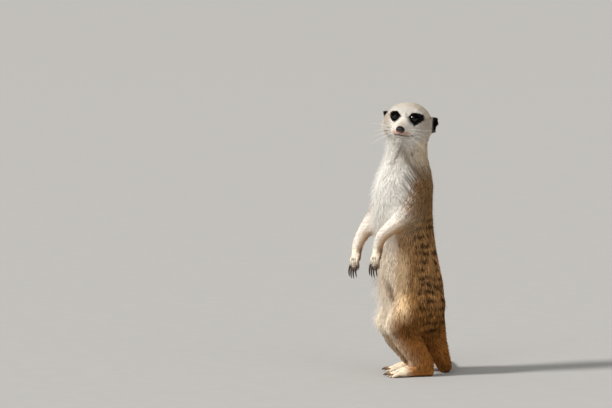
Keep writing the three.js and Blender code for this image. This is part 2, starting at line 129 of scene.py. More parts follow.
def triangles_of(mesh):
    mesh.calc_loop_triangles()
    return rows_of(mesh.loop_triangles, "vertices", np.int32)


def meshed(shape, name):
    """A new mesh of a working shape, which is then freed."""
    mesh = bpy.data.meshes.new(name)
    shape.to_mesh(mesh)
    shape.free()
    return mesh


def linked(name, data):
    """A new object of this data, in the scene."""
    made = bpy.data.objects.new(name, data)
    bpy.context.scene.collection.objects.link(made)
    return made


# ------------ the solids


def points_of(name):
    return coordinates(NODES[name].data)


def middle(name):
    low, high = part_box(name)
    return np.array((low + high) / 2) / MM


def gap_to(points, names):
    """How far each point is from the nearest middle of these nodes."""
    return np.min([sizes_of(points - middle(name)) for name in names], axis=0)


HARD = ("eye", "nose", "fore_claw", "hind_claw")
FLESH = sorted(name for name in NODES if not name.startswith(HARD))
EYES = [f"eye_{side}" for side in SIDES]
EARS = [f"ear_{side}" for side in SIDES]

# The head's own directions, from its eyes, ears and nose.
EYE_FRONT, EYE_UP = 18.8, 5.0
NOSE_FORWARD, NOSE_DROP = 45.7, 7.4
LEFT = unit(middle("eye_left") - middle("eye_right"))
snout = middle("nose") - (middle("ear_left") + middle("ear_right")) / 2
snout = unit(snout - LEFT * (snout @ LEFT))
FRONT = unit(NOSE_FORWARD * snout + NOSE_DROP * np.cross(snout, LEFT))
UP = np.cross(FRONT, LEFT)
HEAD = (middle("eye_left") + middle("eye_right")) / 2 - EYE_FRONT * FRONT - EYE_UP * UP
HEAD_AXES = np.stack([LEFT, FRONT, UP], axis=1)
DOWN = np.array([0.0, 0.0, -1.0])


def in_head(points):
    """Distances to the left, front and top of the head's centre."""
    return (points - HEAD) @ HEAD_AXES


# The trunk twists from the hips up to the head: degrees by which each height faces right of the head.
TWIST_AT = (60, 110, 150, 181, 211, 240, 262)
TWIST = (67, 63, 54, 43, 34, 19, 0)


def front_of(height):
    """The way the trunk faces at each height, and its left, as flat directions."""
    head_faces = math.atan2(FRONT[1], FRONT[0])
    angle = head_faces - np.radians(np.interp(height, TWIST_AT, TWIST))
    front = np.stack([np.cos(angle), np.sin(angle), 0 * angle], axis=-1)
    return front, np.cross([0, 0, 1], front)


# ------------ surfaces


class Surface:
    """A triangle mesh in millimetres, with its normals and edges."""

    def __init__(self, points, faces):
        self.points = points
        self.faces = faces
        sides = np.sort(np.concatenate([faces[:, :2], faces[:, 1:], faces[:, ::2]]), axis=1)
        keys = np.unique(sides[:, 0].astype(np.int64) * len(points) + sides[:, 1])
        self.edges = np.stack([keys // len(points), keys % len(points)], axis=1)
        self.degree = np.bincount(self.edges.ravel(), minlength=len(points))
        self.refresh()

    def refresh(self):
        a, b, c = (self.points[self.faces[:, k]] for k in range(3))
        cross = np.cross(b - a, c - a)
        self.areas = sizes_of(cross) / 2
        self.normals = unit(sum(self.gathered(self.faces[:, k], cross) for k in range(3)))

    def gathered(self, index, values):
        size = len(self.points)
        return np.stack([np.bincount(index, values[:, k], size) for k in range(values.shape[1])], axis=1)

    def neighbours(self, values):
        """Each vertex's neighbours averaged."""
        first, second = self.edges.T
        total = self.gathered(first, values[second]) + self.gathered(second, values[first])
        return total / column(np.maximum(self.degree, 1))

    def blurred(self, values, rounds):
        flat = values.ndim == 1
        values = column(values) if flat else values
        for _ in range(rounds):
            values = mix(values, self.neighbours(values), 0.5)
        return values[:, 0] if flat else values

    def relax(self, rounds, share):
        """Smooths the shape by each vertex's share, with little loss of size."""
        for turn in range(2 * rounds):
            step = 0.55 if turn % 2 == 0 else -0.5
            self.points = self.points + (self.neighbours(self.points) - self.points) * column(step * share)
        self.refresh()

    def push(self, outwards):
        """Moves each vertex along its normal."""
        self.points = self.points + self.normals * column(outwards)
        self.refresh()

    def tree(self):
        return BVHTree.FromPolygons(self.points.tolist(), self.faces.tolist())


def joined(pieces):
    """Several points and faces as one."""
    points, faces, count = [], [], 0
    for some_points, some_faces in pieces:
        points.append(some_points)
        faces.append(some_faces + count)
        count += len(some_points)
    return np.concatenate(points), np.concatenate(faces)


def tree_of(names):
    """A search tree over the faces of these nodes, and each face's node."""
    pieces = [(points_of(name), triangles_of(NODES[name].data)) for name in names]
    points, faces = joined(pieces)
    owners = np.repeat(np.arange(len(names)), [len(some_faces) for _, some_faces in pieces])
    return BVHTree.FromPolygons(points.tolist(), faces.tolist()), owners


# ------------ the skin

JOIN_REACH = 1.4  # how near another solid a face must be to grow into it
JOIN = 1.2  # and how far into it the face grows
VOXEL = 0.62
KEPT_SHARE = 0.24  # of the triangles, where the skin is plain


def swollen(name):
    """A node's mesh, grown where it meets the next one."""
    shape = bmesh.new()
    shape.from_mesh(NODES[name].data)
    bmesh.ops.remove_doubles(shape, verts=shape.verts, dist=1e-6)
    shape.normal_update()
    others, _ = tree_of([other for other in FLESH if other != name])
    for vertex in shape.verts:
        meeting, _, _, gap = others.find_nearest(vertex.co / MM, JOIN_REACH)
        if meeting:
            vertex.co += (meeting * MM - vertex.co) * (1 + JOIN / max(gap, 0.05))
    return meshed(shape, name + "_grown")


def evaluated(holder):
    graph = bpy.context.evaluated_depsgraph_get()
    return bpy.data.meshes.new_from_object(holder.evaluated_get(graph))


FINE_PARTS = ("ear", "fore_paw", "hind_paw")


def fine_share(points):
    """1 where the skin keeps its finest triangles: the head and the paws."""
    left, front, up = in_head(points).T
    share = ramp(-2, 2, front) * ramp(-22, -16, up) * fall(16, 20, up) * (np.abs(left) < 24)
    for name in FLESH:
        if name.startswith(FINE_PARTS):
            low, high = (np.array(corner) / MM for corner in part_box(name))
            share = np.maximum(share, np.all((points > low - 2) & (points < high + 2), axis=1))
    return share


def pockets(shape):
    """The vertices of every closed surface but the largest: the pockets left between solids."""
    shape.verts.ensure_lookup_table()
    group = [-1] * len(shape.verts)
    sizes = []
    for start in shape.verts:
        if group[start.index] >= 0:
            continue
        group[start.index] = len(sizes)
        waiting, size = [start], 0
        while waiting:
            vertex = waiting.pop()
            size += 1
            for edge in vertex.link_edges:
                beside = edge.other_vert(vertex)
                if group[beside.index] < 0:
                    group[beside.index] = len(sizes)
                    waiting.append(beside)
        sizes.append(size)
    largest = sizes.index(max(sizes))
    return [vertex for vertex in shape.verts if group[vertex.index] != largest]


def flesh_mesh():
    """All the flesh as one mesh, thinned where it is plain."""
    shape = bmesh.new()
    for name in FLESH:
        part = swollen(name)
        shape.from_mesh(part)
        bpy.data.meshes.remove(part)
    holder = linked("flesh", meshed(shape, "flesh"))
    remesh = holder.modifiers.new("remesh", "REMESH")
    remesh.mode = "VOXEL"
    remesh.voxel_size = VOXEL * MM
    whole = evaluated(holder)
    holder.modifiers.clear()
    holder.data = whole
    group = holder.vertex_groups.new(name="coarse")
    group.add(np.flatnonzero(fine_share(coordinates(whole)) < 0.5).tolist(), 1.0, "REPLACE")
    thin = holder.modifiers.new("thin", "DECIMATE")
    thin.ratio = KEPT_SHARE
    thin.vertex_group = "coarse"
    thin.vertex_group_factor = 1.0
    thinned = evaluated(holder)
    bpy.data.objects.remove(holder)
    return thinned


def flesh_surface():
    """The flesh as one closed surface without pockets, finest round the eyes and on the muzzle."""
    shape = bmesh.new()
    shape.from_mesh(flesh_mesh())
    bmesh.ops.delete(shape, geom=pockets(shape), context="VERTS")
    bmesh.ops.triangulate(shape, faces=shape.faces)
    places = np.array([vertex.co for vertex in shape.verts]) / MM
    left, front, up = in_head(places).T
    on_muzzle = (front > 19) & (front < 46) & (np.abs(up + 10) < 9) & (np.abs(left) < 15)
    facing = (gap_to(places, EYES) < 9) | on_muzzle
    shape.verts.index_update()
    fine = [edge for edge in shape.edges if all(facing[vertex.index] for vertex in edge.verts)]
    bmesh.ops.subdivide_edges(shape, edges=fine, cuts=1)
    bmesh.ops.triangulate(shape, faces=shape.faces)
    mesh = meshed(shape, "flesh")
    return Surface(coordinates(mesh), triangles_of(mesh))


skin = flesh_surface()
SOLIDS, OWNERS = tree_of(FLESH)
part = np.array([OWNERS[SOLIDS.find_nearest(point)[2]] for point in skin.points.tolist()])
KIND = np.array([name.replace("_left", "").replace("_right", "") for name in FLESH])
kind = KIND[part]


def of_kind(*kinds):
    """True at the skin's vertices that belong to these kinds of node."""
    return np.isin(kind, kinds)


on_head = of_kind("head", "ear")
on_ear_node = of_kind("ear")
on_paw = of_kind("fore_paw", "hind_paw")
trunk = of_kind("belly", "chest", "neck")
soft = np.where(on_paw, 0.35, np.where(on_ear_node, 0.8, 1.0))  # how much each part is smoothed
# Rounds of smoothing: all over, at the seams and round the limbs' roots.
ROUNDS, SEAM_ROUNDS, ROOT_ROUNDS = 14, 44, 60
skin.relax(ROUNDS, skin.blurred(soft, 6))
first, second = skin.edges.T
crossing = part[first] != part[second]


def near_edges(edges, spread, rounds):
    """1 at these edges of the skin and falling off round them."""
    share = np.zeros(len(part))
    share[edges.ravel()] = 1
    return np.clip(spread * skin.blurred(share, rounds), 0, 1)


skin.relax(SEAM_ROUNDS, near_edges(skin.edges[crossing], 4, 16) * np.where(on_ear_node, 0.3, 1.0))
roots = of_kind("thigh", "upper_arm", "belly", "chest")
roots_meet = near_edges(skin.edges[crossing & roots[first] & roots[second]], 5, 30)
for _ in range(ROOT_ROUNDS):
    skin.points = mix(skin.points, skin.neighbours(skin.points), column(0.5 * roots_meet))
skin.refresh()

# Each part's coat in millimetres: depth over the skin, tuft length, lift in degrees, width, area to a tuft.
COAT = {
    "belly": (1.9, 11.0, 12, 0.66, 0.64),
    "chest": (1.7, 9.5, 13, 0.56, 0.52),
    "neck": (0.9, 8.0, 14, 0.50, 0.42),
    "head": (1.2, 4.0, 9, 0.30, 0.19),
    "ear": (0.0, 1.0, 5, 0.24, 0.22),
    "upper_arm": (1.4, 7.0, 11, 0.56, 0.52),
    "forearm": (1.1, 5.0, 10, 0.44, 0.40),
    "fore_paw": (0.4, 3.0, 9, 0.34, 0.32),
    "thigh": (1.8, 9.6, 11, 0.68, 0.64),
    "shin": (1.2, 6.3, 10, 0.56, 0.56),
    "hind_paw": (0.4, 3.0, 10, 0.40, 0.46),
    "tail_root": (1.5, 7.8, 12, 0.66, 0.60),
    "tail_middle": (1.3, 6.6, 12, 0.60, 0.54),
    "tail_tip": (1.0, 6.0, 12, 0.56, 0.50),
}
DEPTH, LENGTH, LIFT, WIDTH, AREA = range(5)
# The kinds of node in each region of the coat.
REGIONS = {
    "trunk": ("belly", "chest", "neck"),
    "head": ("head", "ear"),
    "thigh": ("thigh",),
    "shin": ("shin", "hind_paw"),
    "arm": ("upper_arm", "forearm", "fore_paw"),
    "tail": ("tail_root", "tail_middle", "tail_tip"),
}
table = skin.blurred(np.array([COAT[name] for name in KIND])[part], 30)


def graded(columns, goal, share):
    """Takes columns of the table towards a goal, by each vertex's share."""
    table[:, columns] = mix(table[:, columns], goal, column(share))


behind = ramp(0.1, 0.8, -dot(skin.normals, front_of(skin.points[:, 2])[0])) * ~on_head
table[:, DEPTH] *= 1 - 0.5 * behind
table[:, LIFT] += 4 * behind * (kind == "neck")
left, front, up = in_head(skin.points).T
wide = np.abs(left)
muzzle = np.maximum(ramp(22, 31, front), ramp(16, 20, front) * bell(up + 12.5, 3.5))
cheek = ramp(13, 18, wide) * ramp(-12, -6, up) * fall(5, 10, up) * fall(18, 25, front)
brow = ramp(4, 10, up) * ramp(-6, 6, front)
near_eye = fall(6.5, 10.5, gap_to(skin.points, EYES))
smooth = np.maximum(muzzle, near_eye)  # where the face's hair is shortest
nape = fall(-16, 2, front) * (kind == "head")
face = on_head & ~on_ear_node
graded([DEPTH], 0.5, smooth * on_head)
graded([DEPTH], 2.2, 0.8 * cheek * on_head)
graded([DEPTH, LENGTH, LIFT, WIDTH, AREA], (2.0, 7.0, 11.0, 0.44, 0.34), nape)
graded([LENGTH], 2.8, brow * face)
graded([LENGTH], 6.2, cheek * face)
graded([LENGTH], 1.3, smooth * face)
graded([LIFT], 18, cheek * on_head)
graded([WIDTH, AREA], (0.22, 0.14), smooth * face)
ear_gap = gap_to(skin.points, EARS)
by_ear = face & (ear_gap < 14)
table[:, LENGTH] = np.where(by_ear, mix(2.0, table[:, LENGTH], ramp(9, 14, ear_gap)), table[:, LENGTH])
table = skin.blurred(table, 14)
MOST_ROOM = 3.5  # how far outwards a ray looks
NUDGE = 0.01  # and how far past each face it goes on


def room_outside(point, way):
    """How far a point lies under the outside of the solids, along a way."""
    reach, left_one = 0.0, False
    while reach < MOST_ROOM:
        place, facing, _, gone = SOLIDS.ray_cast(point + way * (reach + NUDGE), way, MOST_ROOM - reach)
        entering = place is not None and facing.dot(way) < 0
        if place is None or (entering and left_one):
            break
        left_one = not entering
        reach += gone + NUDGE
    return min(reach, MOST_ROOM) if left_one else 0.0


ways_out = zip(skin.points.tolist(), skin.normals.tolist())
room = np.array([room_outside(Vector(point), Vector(way)) for point, way in ways_out])
room = skin.blurred(room * ~(on_head | on_paw), 14)
skin.push((room - table[:, DEPTH]) * ramp(0.4, 3.0, skin.points[:, 2]))
skin.relax(3, skin.blurred(soft, 6))

# ------------ the face

EYE_RADIUS = 4.9
EYE_TURN, EYE_RISE = math.radians(24), math.radians(8)
EYE_WIDE, EYE_TALL = 3.8, 3.0  # half the opening between the lids
LID = 0.5


def eye_axes(side):
    """The eye's outward, upward and forward directions."""
    out = SIDES[side] * LEFT
    level = math.cos(EYE_TURN) * FRONT + math.sin(EYE_TURN) * out
    ahead = unit(math.cos(EYE_RISE) * level + math.sin(EYE_RISE) * UP)
    out = unit(out - ahead * (out @ ahead))
    above = unit(UP - ahead * (UP @ ahead) - out * (UP @ out))
    return np.stack([out, above, ahead], axis=1)


def in_eye(points, side):
    """Places in the eye's own directions, their distances, and 1 at the lids' edge and less inside it."""
    local = (points - middle(f"eye_{side}")) @ eye_axes(side)
    reach = sizes_of(local)
    on_ball = local[:, :2] / column(reach) * EYE_RADIUS
    tall = EYE_TALL * (1 - 0.35 * np.clip(on_ball[:, 0] / EYE_WIDE, -1, 1) ** 2)
    opening = np.hypot(on_ball[:, 0] / EYE_WIDE, on_ball[:, 1] / tall)
    return local, reach, np.where(local[:, 2] > 0, opening, 9.0)


# Up to the first the skin is drawn in under the lid, and from there to the second onto the lid's edge.
UNDER_LID, LID_EDGE = 0.84, 1.16


def close_lids(side):
    """Wraps the skin over the eyeball and opens it between the lids."""
    local, reach, opening = in_eye(skin.points, side)
    near = (reach < EYE_RADIUS + 6) & (local[:, 2] > -1)
    edge = near & (opening > UNDER_LID) & (opening < LID_EDGE)
    under = near & (opening > 0.55) & (opening <= UNDER_LID)
    flat = local.copy()
    flat[edge, :2] /= column(opening[edge])
    flat[under, :2] *= column(0.86 / opening[under])
    lid = EYE_RADIUS + LID + 0.25 * bell(opening - 1.2, 0.14)
    outside = np.maximum(mix(lid, reach, ramp(1.05, 2.3, opening)), EYE_RADIUS + 0.35)
    goal = np.where(opening < UNDER_LID, EYE_RADIUS - 1.0, outside)
    goal = mix(reach, goal, ramp(0.0, 0.5, local[:, 2] / reach))
    moved = middle(f"eye_{side}") + unit(flat) * column(goal) @ eye_axes(side).T
    skin.points = np.where(column(near), moved, skin.points)


MOUTH_UP = -13.1
MOUTH_CORNER = 17.0
# How far to the side, to the front and up the whisker pads and the folds of the cheeks are.
WHISKER_PAD = (6.2, 32, -9.6)
CHEEK_FOLD = (15, 18, -11.5)


def mouth_line(wide):
    return MOUTH_UP - 0.5 * bell(wide - 5, 3.5) + 0.5 * ramp(8, 14, wide)


def shape_face():
    """How far the lips, whisker pads, brow and eye folds stand out of the skin."""
    left, front, up = in_head(skin.points).T
    places = np.stack([np.abs(left), front, up], axis=1)
    over = up - mouth_line(np.abs(left))
    reach = ramp(MOUTH_CORNER - 2, MOUTH_CORNER + 1.5, front)
    push = reach * (-1.1 * bell(over, 0.7) + 0.35 * bell(over - 1.9, 1.3) + 0.3 * bell(over + 1.9, 1.3))
    push -= 0.6 * bell(left, 0.5) * ramp(33, 35, front) * ramp(0, 0.6, over) * fall(4.6, 5.6, over)
    push += 0.55 * bell(sizes_of(places - WHISKER_PAD), 3.4)
    push -= 0.4 * bell(sizes_of(places - CHEEK_FOLD), 2.2)
    for side in SIDES:
        local, distance, _ = in_eye(skin.points, side)
        above = ramp(-1, 3, local[:, 1])
        ahead = ramp(0, 2, local[:, 2])
        push += ahead * (0.5 * above * bell(distance - 8.0, 1.5) - 0.35 * bell(distance - 6.4, 0.7))
        push -= 0.3 * ahead * (1 - above) * bell(distance - 8.2, 0.8)
    return push * on_head


skin.points = skin.points + skin.normals * column(shape_face())
EAR_DEPTH, EAR_HEIGHT = 5.6, 8.2  # half an ear's size, backwards and upwards
EAR_ROUND = 7.4  # how far from an ear's middle its black fur reaches
EAR_OUT = 1.6  # how far the ears stand out of their solids
EAR_SPREAD = 0.16  # and by how much they are wider
ear_share = skin.blurred((on_ear_node | (ear_gap < EAR_ROUND)) * 1.0, 3)


def shape_ear(side):
    """Brings the ear out of the head, with a dish and its ridges on the open side."""
    outward = SIDES[side] * LEFT
    local = (skin.points - middle(f"ear_{side}")) @ HEAD_AXES
    across = local[:, 1] / EAR_DEPTH
    along = local[:, 2] / EAR_HEIGHT
    far = np.hypot(across, along)
    open_side = ramp(0.35, 0.9, skin.normals @ outward)
    dish = -0.6 * fall(0.25, 0.8, far)
    ridge = 0.9 * bell(across + 0.15 - 0.25 * along, 0.16) * fall(0.45, 0.7, far)
    ridge += 0.6 * bell(far - 0.5, 0.11) * ramp(-0.3, 0.3, -along)
    near = ear_share * (sizes_of(local) < 14)
    spread = (local * [0, EAR_SPREAD, EAR_SPREAD]) @ HEAD_AXES.T * column(near)
    skin.points = skin.points + spread + np.outer(near * (EAR_OUT + open_side * (dish + ridge)), outward)


for side in SIDES:
    shape_ear(side)
skin.relax(4, 0.8 * ear_share)
graded([LENGTH, LIFT, WIDTH], (1.1, 7.0, 0.24), ear_share)
for side in SIDES:
    close_lids(side)
skin.refresh()

# ------------ the digits

DIGITS = 4
DIGIT_BACK = -14.0  # where the digits part, behind the middles of the claws
FAN = 0.0145  # how much wider the digits stand, per millimetre forwards


def digit_clefts(points):
    """1 in the clefts between digits."""
    cleft = np.zeros(len(points))
    for paw in ("fore", "hind"):
        for side in SIDES:
            claws = np.array([middle(f"{paw}_claw_{side}_{number + 1}") for number in range(DIGITS)])
            centre = claws.mean(axis=0)
            ahead = unit(centre - middle(f"{paw}_paw_{side}"))
            across = claws[-1] - claws[0]
            across = unit(across - ahead * (across @ ahead))
            along = (points - centre) @ ahead
            aside = (points - centre) @ across / np.maximum(1 + FAN * along, 0.5)
            claws_aside = np.sort((claws - centre) @ across)
            lines = (claws_aside[1:] + claws_aside[:-1]) / 2
            gap = np.min([np.abs(aside - line) for line in lines], axis=0)
            part_way = ramp(DIGIT_BACK - 2, DIGIT_BACK + 2.5, along) * (sizes_of(points - centre) < 24)
            cleft = np.maximum(cleft, bell(gap, 0.8) * part_way * (1 - 0.7 * ramp(-7, -5, along)))
    return cleft


skin.push(-1.1 * digit_clefts(skin.points) * on_paw)
claw_gap = gap_to(skin.points, [name for name in NODES if name.startswith("fore_claw")])
table[:, LENGTH] += 2.6 * fall(8.5, 12, claw_gap) * (kind == "fore_paw")

# ------------ the lie of the coat

LEVELS = np.arange(30, 262, 6.0)


def trunk_line():
    """The trunk's middle at each level."""
    middles = []
    for level in LEVELS:
        slab = skin.points[trunk & (np.abs(skin.points[:, 2] - level) < 4)]
        middles.append((slab[:, :2].min(axis=0) + slab[:, :2].max(axis=0)) / 2)
    middles = np.array(middles)
    for _ in range(4):
        middles[1:-1] = (middles[:-2] + 2 * middles[1:-1] + middles[2:]) / 4
    return middles


TRUNK_LINE = trunk_line()


def round_trunk(points):
    """Degrees round the trunk from its front, growing to the animal's left."""
    height = points[:, 2]
    away = np.zeros((len(points), 3))
    for axis in range(2):
        away[:, axis] = points[:, axis] - np.interp(height, LEVELS, TRUNK_LINE[:, axis])
    front, left = front_of(height)
    return np.degrees(np.arctan2(dot(away, left), dot(away, front)))


def belly_fold(points):
    """1 along the fold from the belly down to the inside of each thigh."""
    height = points[:, 2]
    line = np.interp(height, (74, 90, 101, 112), (44, 37, 26, 10))
    return bell(np.abs(round_trunk(points)) - line, 9) * bell(height - 94, 14)


trunk_or_thigh = trunk | (kind == "thigh")
skin.push(-1.8 * belly_fold(skin.points) * trunk_or_thigh)


def chain_lies():
    """The way along each limb and the tail, at each of their nodes."""
    lies = {}
    chains = [["tail_root", "tail_middle", "tail_tip"]]
    for side in SIDES:
        chains.append([f"upper_arm_{side}", f"forearm_{side}", f"fore_paw_{side}", f"fore_claw_{side}_2"])
        chains.append([f"thigh_{side}", f"shin_{side}", f"hind_paw_{side}", f"hind_claw_{side}_2"])
    for chain in chains:
        for index, name in enumerate(chain):
            before = middle(chain[max(index - 1, 0)])
            after = middle(chain[min(index + 1, len(chain) - 1)])
            lies[name] = unit(after - before)
    for side in SIDES:
        lies[f"thigh_{side}"] = unit(DOWN + 0.35 * lies[f"thigh_{side}"])
    return lies


LIES = chain_lies()
CHEST_SWEEP = 0.95  # the slope at which the chest's hair sweeps out from its middle line


def chest_sweep(points):
    """How far the coat sweeps out round the chest, from -1 on the right to 1 on the left."""
    turn = round_trunk(points)
    return np.clip(turn / 22, -1, 1) * bell(np.abs(turn) - 40, 34) * bell(points[:, 2] - 203, 24)


def lie_of_coat():
    """The tangent that the coat follows at each vertex of the skin."""
    left, _, up = in_head(skin.points).T
    head_lie = np.tile(-FRONT, (len(left), 1))
    head_lie += np.outer(np.clip(left / 14, -1, 1) * 0.5, LEFT)
    head_lie -= np.outer(0.25 + 0.8 * ramp(8, 18, np.abs(left)) * fall(4, 12, up), UP)
    for side in SIDES:
        local, reach, _ = in_eye(skin.points, side)
        round_eye = column(fall(6, 10, reach)) * (local[:, :2] / column(reach))
        head_lie += 1.3 * round_eye @ eye_axes(side)[:, :2].T
    lie = np.where(column(on_head), head_lie, DOWN)
    for name, way in LIES.items():
        if name in FLESH:
            lie[part == FLESH.index(name)] = way
    for side in SIDES:
        up_the_ear = unit(0.9 * UP - 0.5 * FRONT + 0.3 * SIDES[side] * LEFT)
        lie[part == FLESH.index(f"ear_{side}")] = up_the_ear
    lie = skin.blurred(unit(lie), 20)
    sway = noise(skin.points, 19.0, 3) * 0.22 + CHEST_SWEEP * chest_sweep(skin.points) * (1 - on_head)
    lie = lie + np.cross(skin.normals, lie) * column(sway)
    return unit(lie - skin.normals * column(dot(lie, skin.normals)))


lie = lie_of_coat()


def hug_of_coat():
    """Degrees by which the skin rises or falls under each tuft's tip, so that the coat follows the form."""
    tree = skin.tree()
    length = table[:, LENGTH] * 0.9
    tips = skin.points + lie * column(length) + skin.normals * 0.5
    nearest = np.array([tree.find_nearest(tip)[0] for tip in tips.tolist()])
    rise = dot(nearest - skin.points, skin.normals)
    return skin.blurred(np.clip(np.degrees(np.arctan2(rise, length)), -14, 30), 6)


hug = hug_of_coat()

# ------------ markings

WHITE = colour(240, 237, 230)
FACE_WHITE = colour(204, 198, 189)
CREAM = colour(238, 222, 196)
BELLY_PALE = colour(248, 232, 210)
GOLD = colour(200, 148, 86)
GRIZZLE = colour(158, 131, 100)
SHOULDER = colour(142, 109, 75)
HAUNCH = colour(124, 82, 42)
RUST = colour(156, 102, 51)
BACK = colour(180, 136, 90)
TAIL_RUST = colour(170, 110, 56)
UMBER = colour(46, 30, 20)
BLACK = colour(12, 10, 10)
EAR_BLACK = colour(30, 25, 23)
PINK = colour(170, 130, 112)
SMUDGE = colour(198, 178, 152)
# the soles' own dark colour, also used as painted shade in the clefts between the digits
SOLE_AND_CLEFT_SHADE = colour(72, 52, 44)
PAW_UNDER = colour(136, 104, 74)


def painted(base, shade, share):
    return mix(base, shade, column(share))


def laid(base, *layers):
    """Paints shades over a base one after another, each by its share."""
    for shade, share in layers:
        base = painted(base, shade, share)
    return base


def flank_ridge(points):
    """1 along the pale ridge that runs down each flank to the knee: partly the fur's own pale colour, partly
    a painted highlight.
    """
    height = points[:, 2]
    return bell(np.abs(round_trunk(points)) - 62, 9) * ramp(58, 78, height) * fall(122, 142, height)


# The degrees from the front at which the pale front ends, at each height, on either side.
PALE_HALF = {
    "left": ((30, 90, 150, 185, 195, 205, 215, 236, 246, 254), (40, 50, 52, 56, 60, 59, 56, 40, 46, 80)),
    "right": ((30, 90, 150, 190, 225, 254), (40, 50, 52, 50, 62, 84)),
}


def trunk_colours():
    """The pale front, the flanks and the back, which meet at a wandering edge."""
    points = skin.points
    height = points[:, 2]
    side_turn = round_trunk(points)
    turn = np.abs(side_turn)
    wander = 9 * noise(points, 14.0, 5)
    golden = fall(64, 84, turn + wander) * ramp(60, 84, height) * fall(140, 160, height)
    flank = laid(
        HAUNCH,
        (BACK, ramp(60, 110, height)),
        (SHOULDER, ramp(135, 175, height)),
        (mix(GRIZZLE, CREAM, 0.35), ramp(205, 235, height)),
        (CREAM, 0.8 * ramp(214, 238, height) * fall(95, 135, turn)),
        (GOLD, 0.85 * golden),
    )
    swept = np.abs(chest_sweep(points))
    veins = ramp(0.2, 0.6, noise(points * [1, 1, 0.2], 4.5, 61)) * ramp(120, 150, height) * (1 - swept)
    pale = laid(BELLY_PALE, (WHITE, ramp(130, 165, height)), (GRIZZLE, 0.3 * veins))
    edge = {side: np.interp(height, *PALE_HALF[side]) for side in SIDES}
    edge = np.where(side_turn > 0, edge["left"], edge["right"])
    return painted(pale, flank, ramp(-12, 12, turn + wander * (1 - 0.5 * swept) - edge))


def arm_colours(name, side, trunk_shades, front):
    """An arm's pale top and darker underside, the underside partly its own colour and partly painted shade;
    the upper arm runs into the shoulder's own colours.
    """
    along = LIES[f"{name}_{side}"]
    ahead = front + np.array([0, 0, 0.7])
    upwards = dot(skin.normals, unit(ahead - np.outer(ahead @ along, along)))
    if name == "fore_paw":
        # the paw's darker underside: partly its own colour, partly painted shade
        return painted(PAW_UNDER, 0.9 * mix(CREAM, WHITE, 0.3), ramp(0.0, 0.65, upwards))
    # the arm's darker underside: partly its own colour, partly painted shade
    under = mix(GOLD, CREAM, 0.15) if name == "forearm" else mix(GRIZZLE, CREAM, 0.25)
    arm = painted(under, mix(CREAM, WHITE, 0.9), ramp(-0.35, 0.45, upwards))
    if name == "upper_arm":
        return painted(trunk_shades, arm, 0.8 * fall(160, 182, skin.points[:, 2]))
    return arm


def throat_and_folds(shades):
    """Painted shade in the folds, under the chin, across the throat and on the trunk below the left elbow,
    and the flank's pale ridge with its painted highlight, over the blurred ground colours.
    """
    points = skin.points
    height = points[:, 2]
    side_turn = round_trunk(points)
    # The throat's painted shade: a band running down across the throat, centred at these degrees from the
    # front at each height.
    throat_shade_turn = np.interp(height, (212, 226, 236, 246), (78, 46, 24, 12))
    throat_shade = bell(side_turn - throat_shade_turn, 13) * ramp(206, 218, height) * fall(242, 252, height)
    # Where the painted shade of the throat's crease runs: degrees from the front at each height.
    crease_shade_turn = np.interp(height, (226, 236, 246), (4, 6, 15))
    layers = (
        # the flank's pale ridge: partly the fur's own colour, partly a painted highlight
        (colour(250, 216, 170), 0.9, flank_ridge(points)),
        # painted shade in the fold from the belly down to the inside of each thigh
        (colour(118, 82, 50), 0.9, belly_fold(points)),
        # painted shadow of the chin on the throat
        (colour(150, 128, 100), 0.35, bell(side_turn - 36, 26) * bell(height - 234, 11)),
        # painted shade in the band across the throat
        (colour(104, 84, 62), 0.6, throat_shade),
        # painted shade in the throat's crease
        (colour(84, 68, 52), 0.75, bell(side_turn - crease_shade_turn, 4.5) * bell(height - 236, 10)),
        # painted shadow on the trunk below the left elbow
        (colour(112, 74, 38), 0.6, bell(side_turn - 58, 10) * bell(height - 148, 9)),
    )
    return laid(shades, *((shade, strength * share * trunk_or_thigh) for shade, strength, share in layers))


def broad_colours():
    """The ground colour of each part, without its spots and bands, with painted shade in the folds, on the
    throat and below the elbow, and the flank ridge's painted highlight laid over it.
    """
    points = skin.points
    height = points[:, 2]
    turn = np.abs(round_trunk(points))
    front, _ = front_of(height)
    facing = dot(skin.normals, front)
    shades = trunk_colours()
    trunk_shades = shades.copy()

    def fill(name, colours):
        chosen = kind == name
        shades[chosen] = colours[chosen]

    front_of_leg = 0.9 * ramp(0.6, 0.95, facing) * fall(62, 74, turn)
    fill("thigh", laid(trunk_shades, (RUST, fall(30, 52, height)), (CREAM, front_of_leg)))
    fill("shin", painted(RUST, CREAM, 0.7 * ramp(0.1, 0.8, facing)))
    heel = ramp(17, 30, gap_to(points, [f"hind_claw_{side}_3" for side in SIDES]))
    foot_side = 0.3 * fall(-0.2, 0.5, skin.normals[:, 2])
    sole = ramp(0.5, 0.8, -skin.normals[:, 2]) * fall(2, 5, height)
    fill("hind_paw", laid(CREAM, (RUST, np.maximum(heel, foot_side)), (SOLE_AND_CLEFT_SHADE, sole)))
    for side in SIDES:
        for name in ("upper_arm", "forearm", "fore_paw"):
            chosen = part == FLESH.index(f"{name}_{side}")
            shades[chosen] = arm_colours(name, side, trunk_shades, front)[chosen]
    tail = painted(TAIL_RUST, 0.6 * TAIL_RUST, 0.6 * (kind == "tail_root"))
    for name in REGIONS["tail"]:
        fill(name, tail)
    return throat_and_folds(skin.blurred(shades, 24))


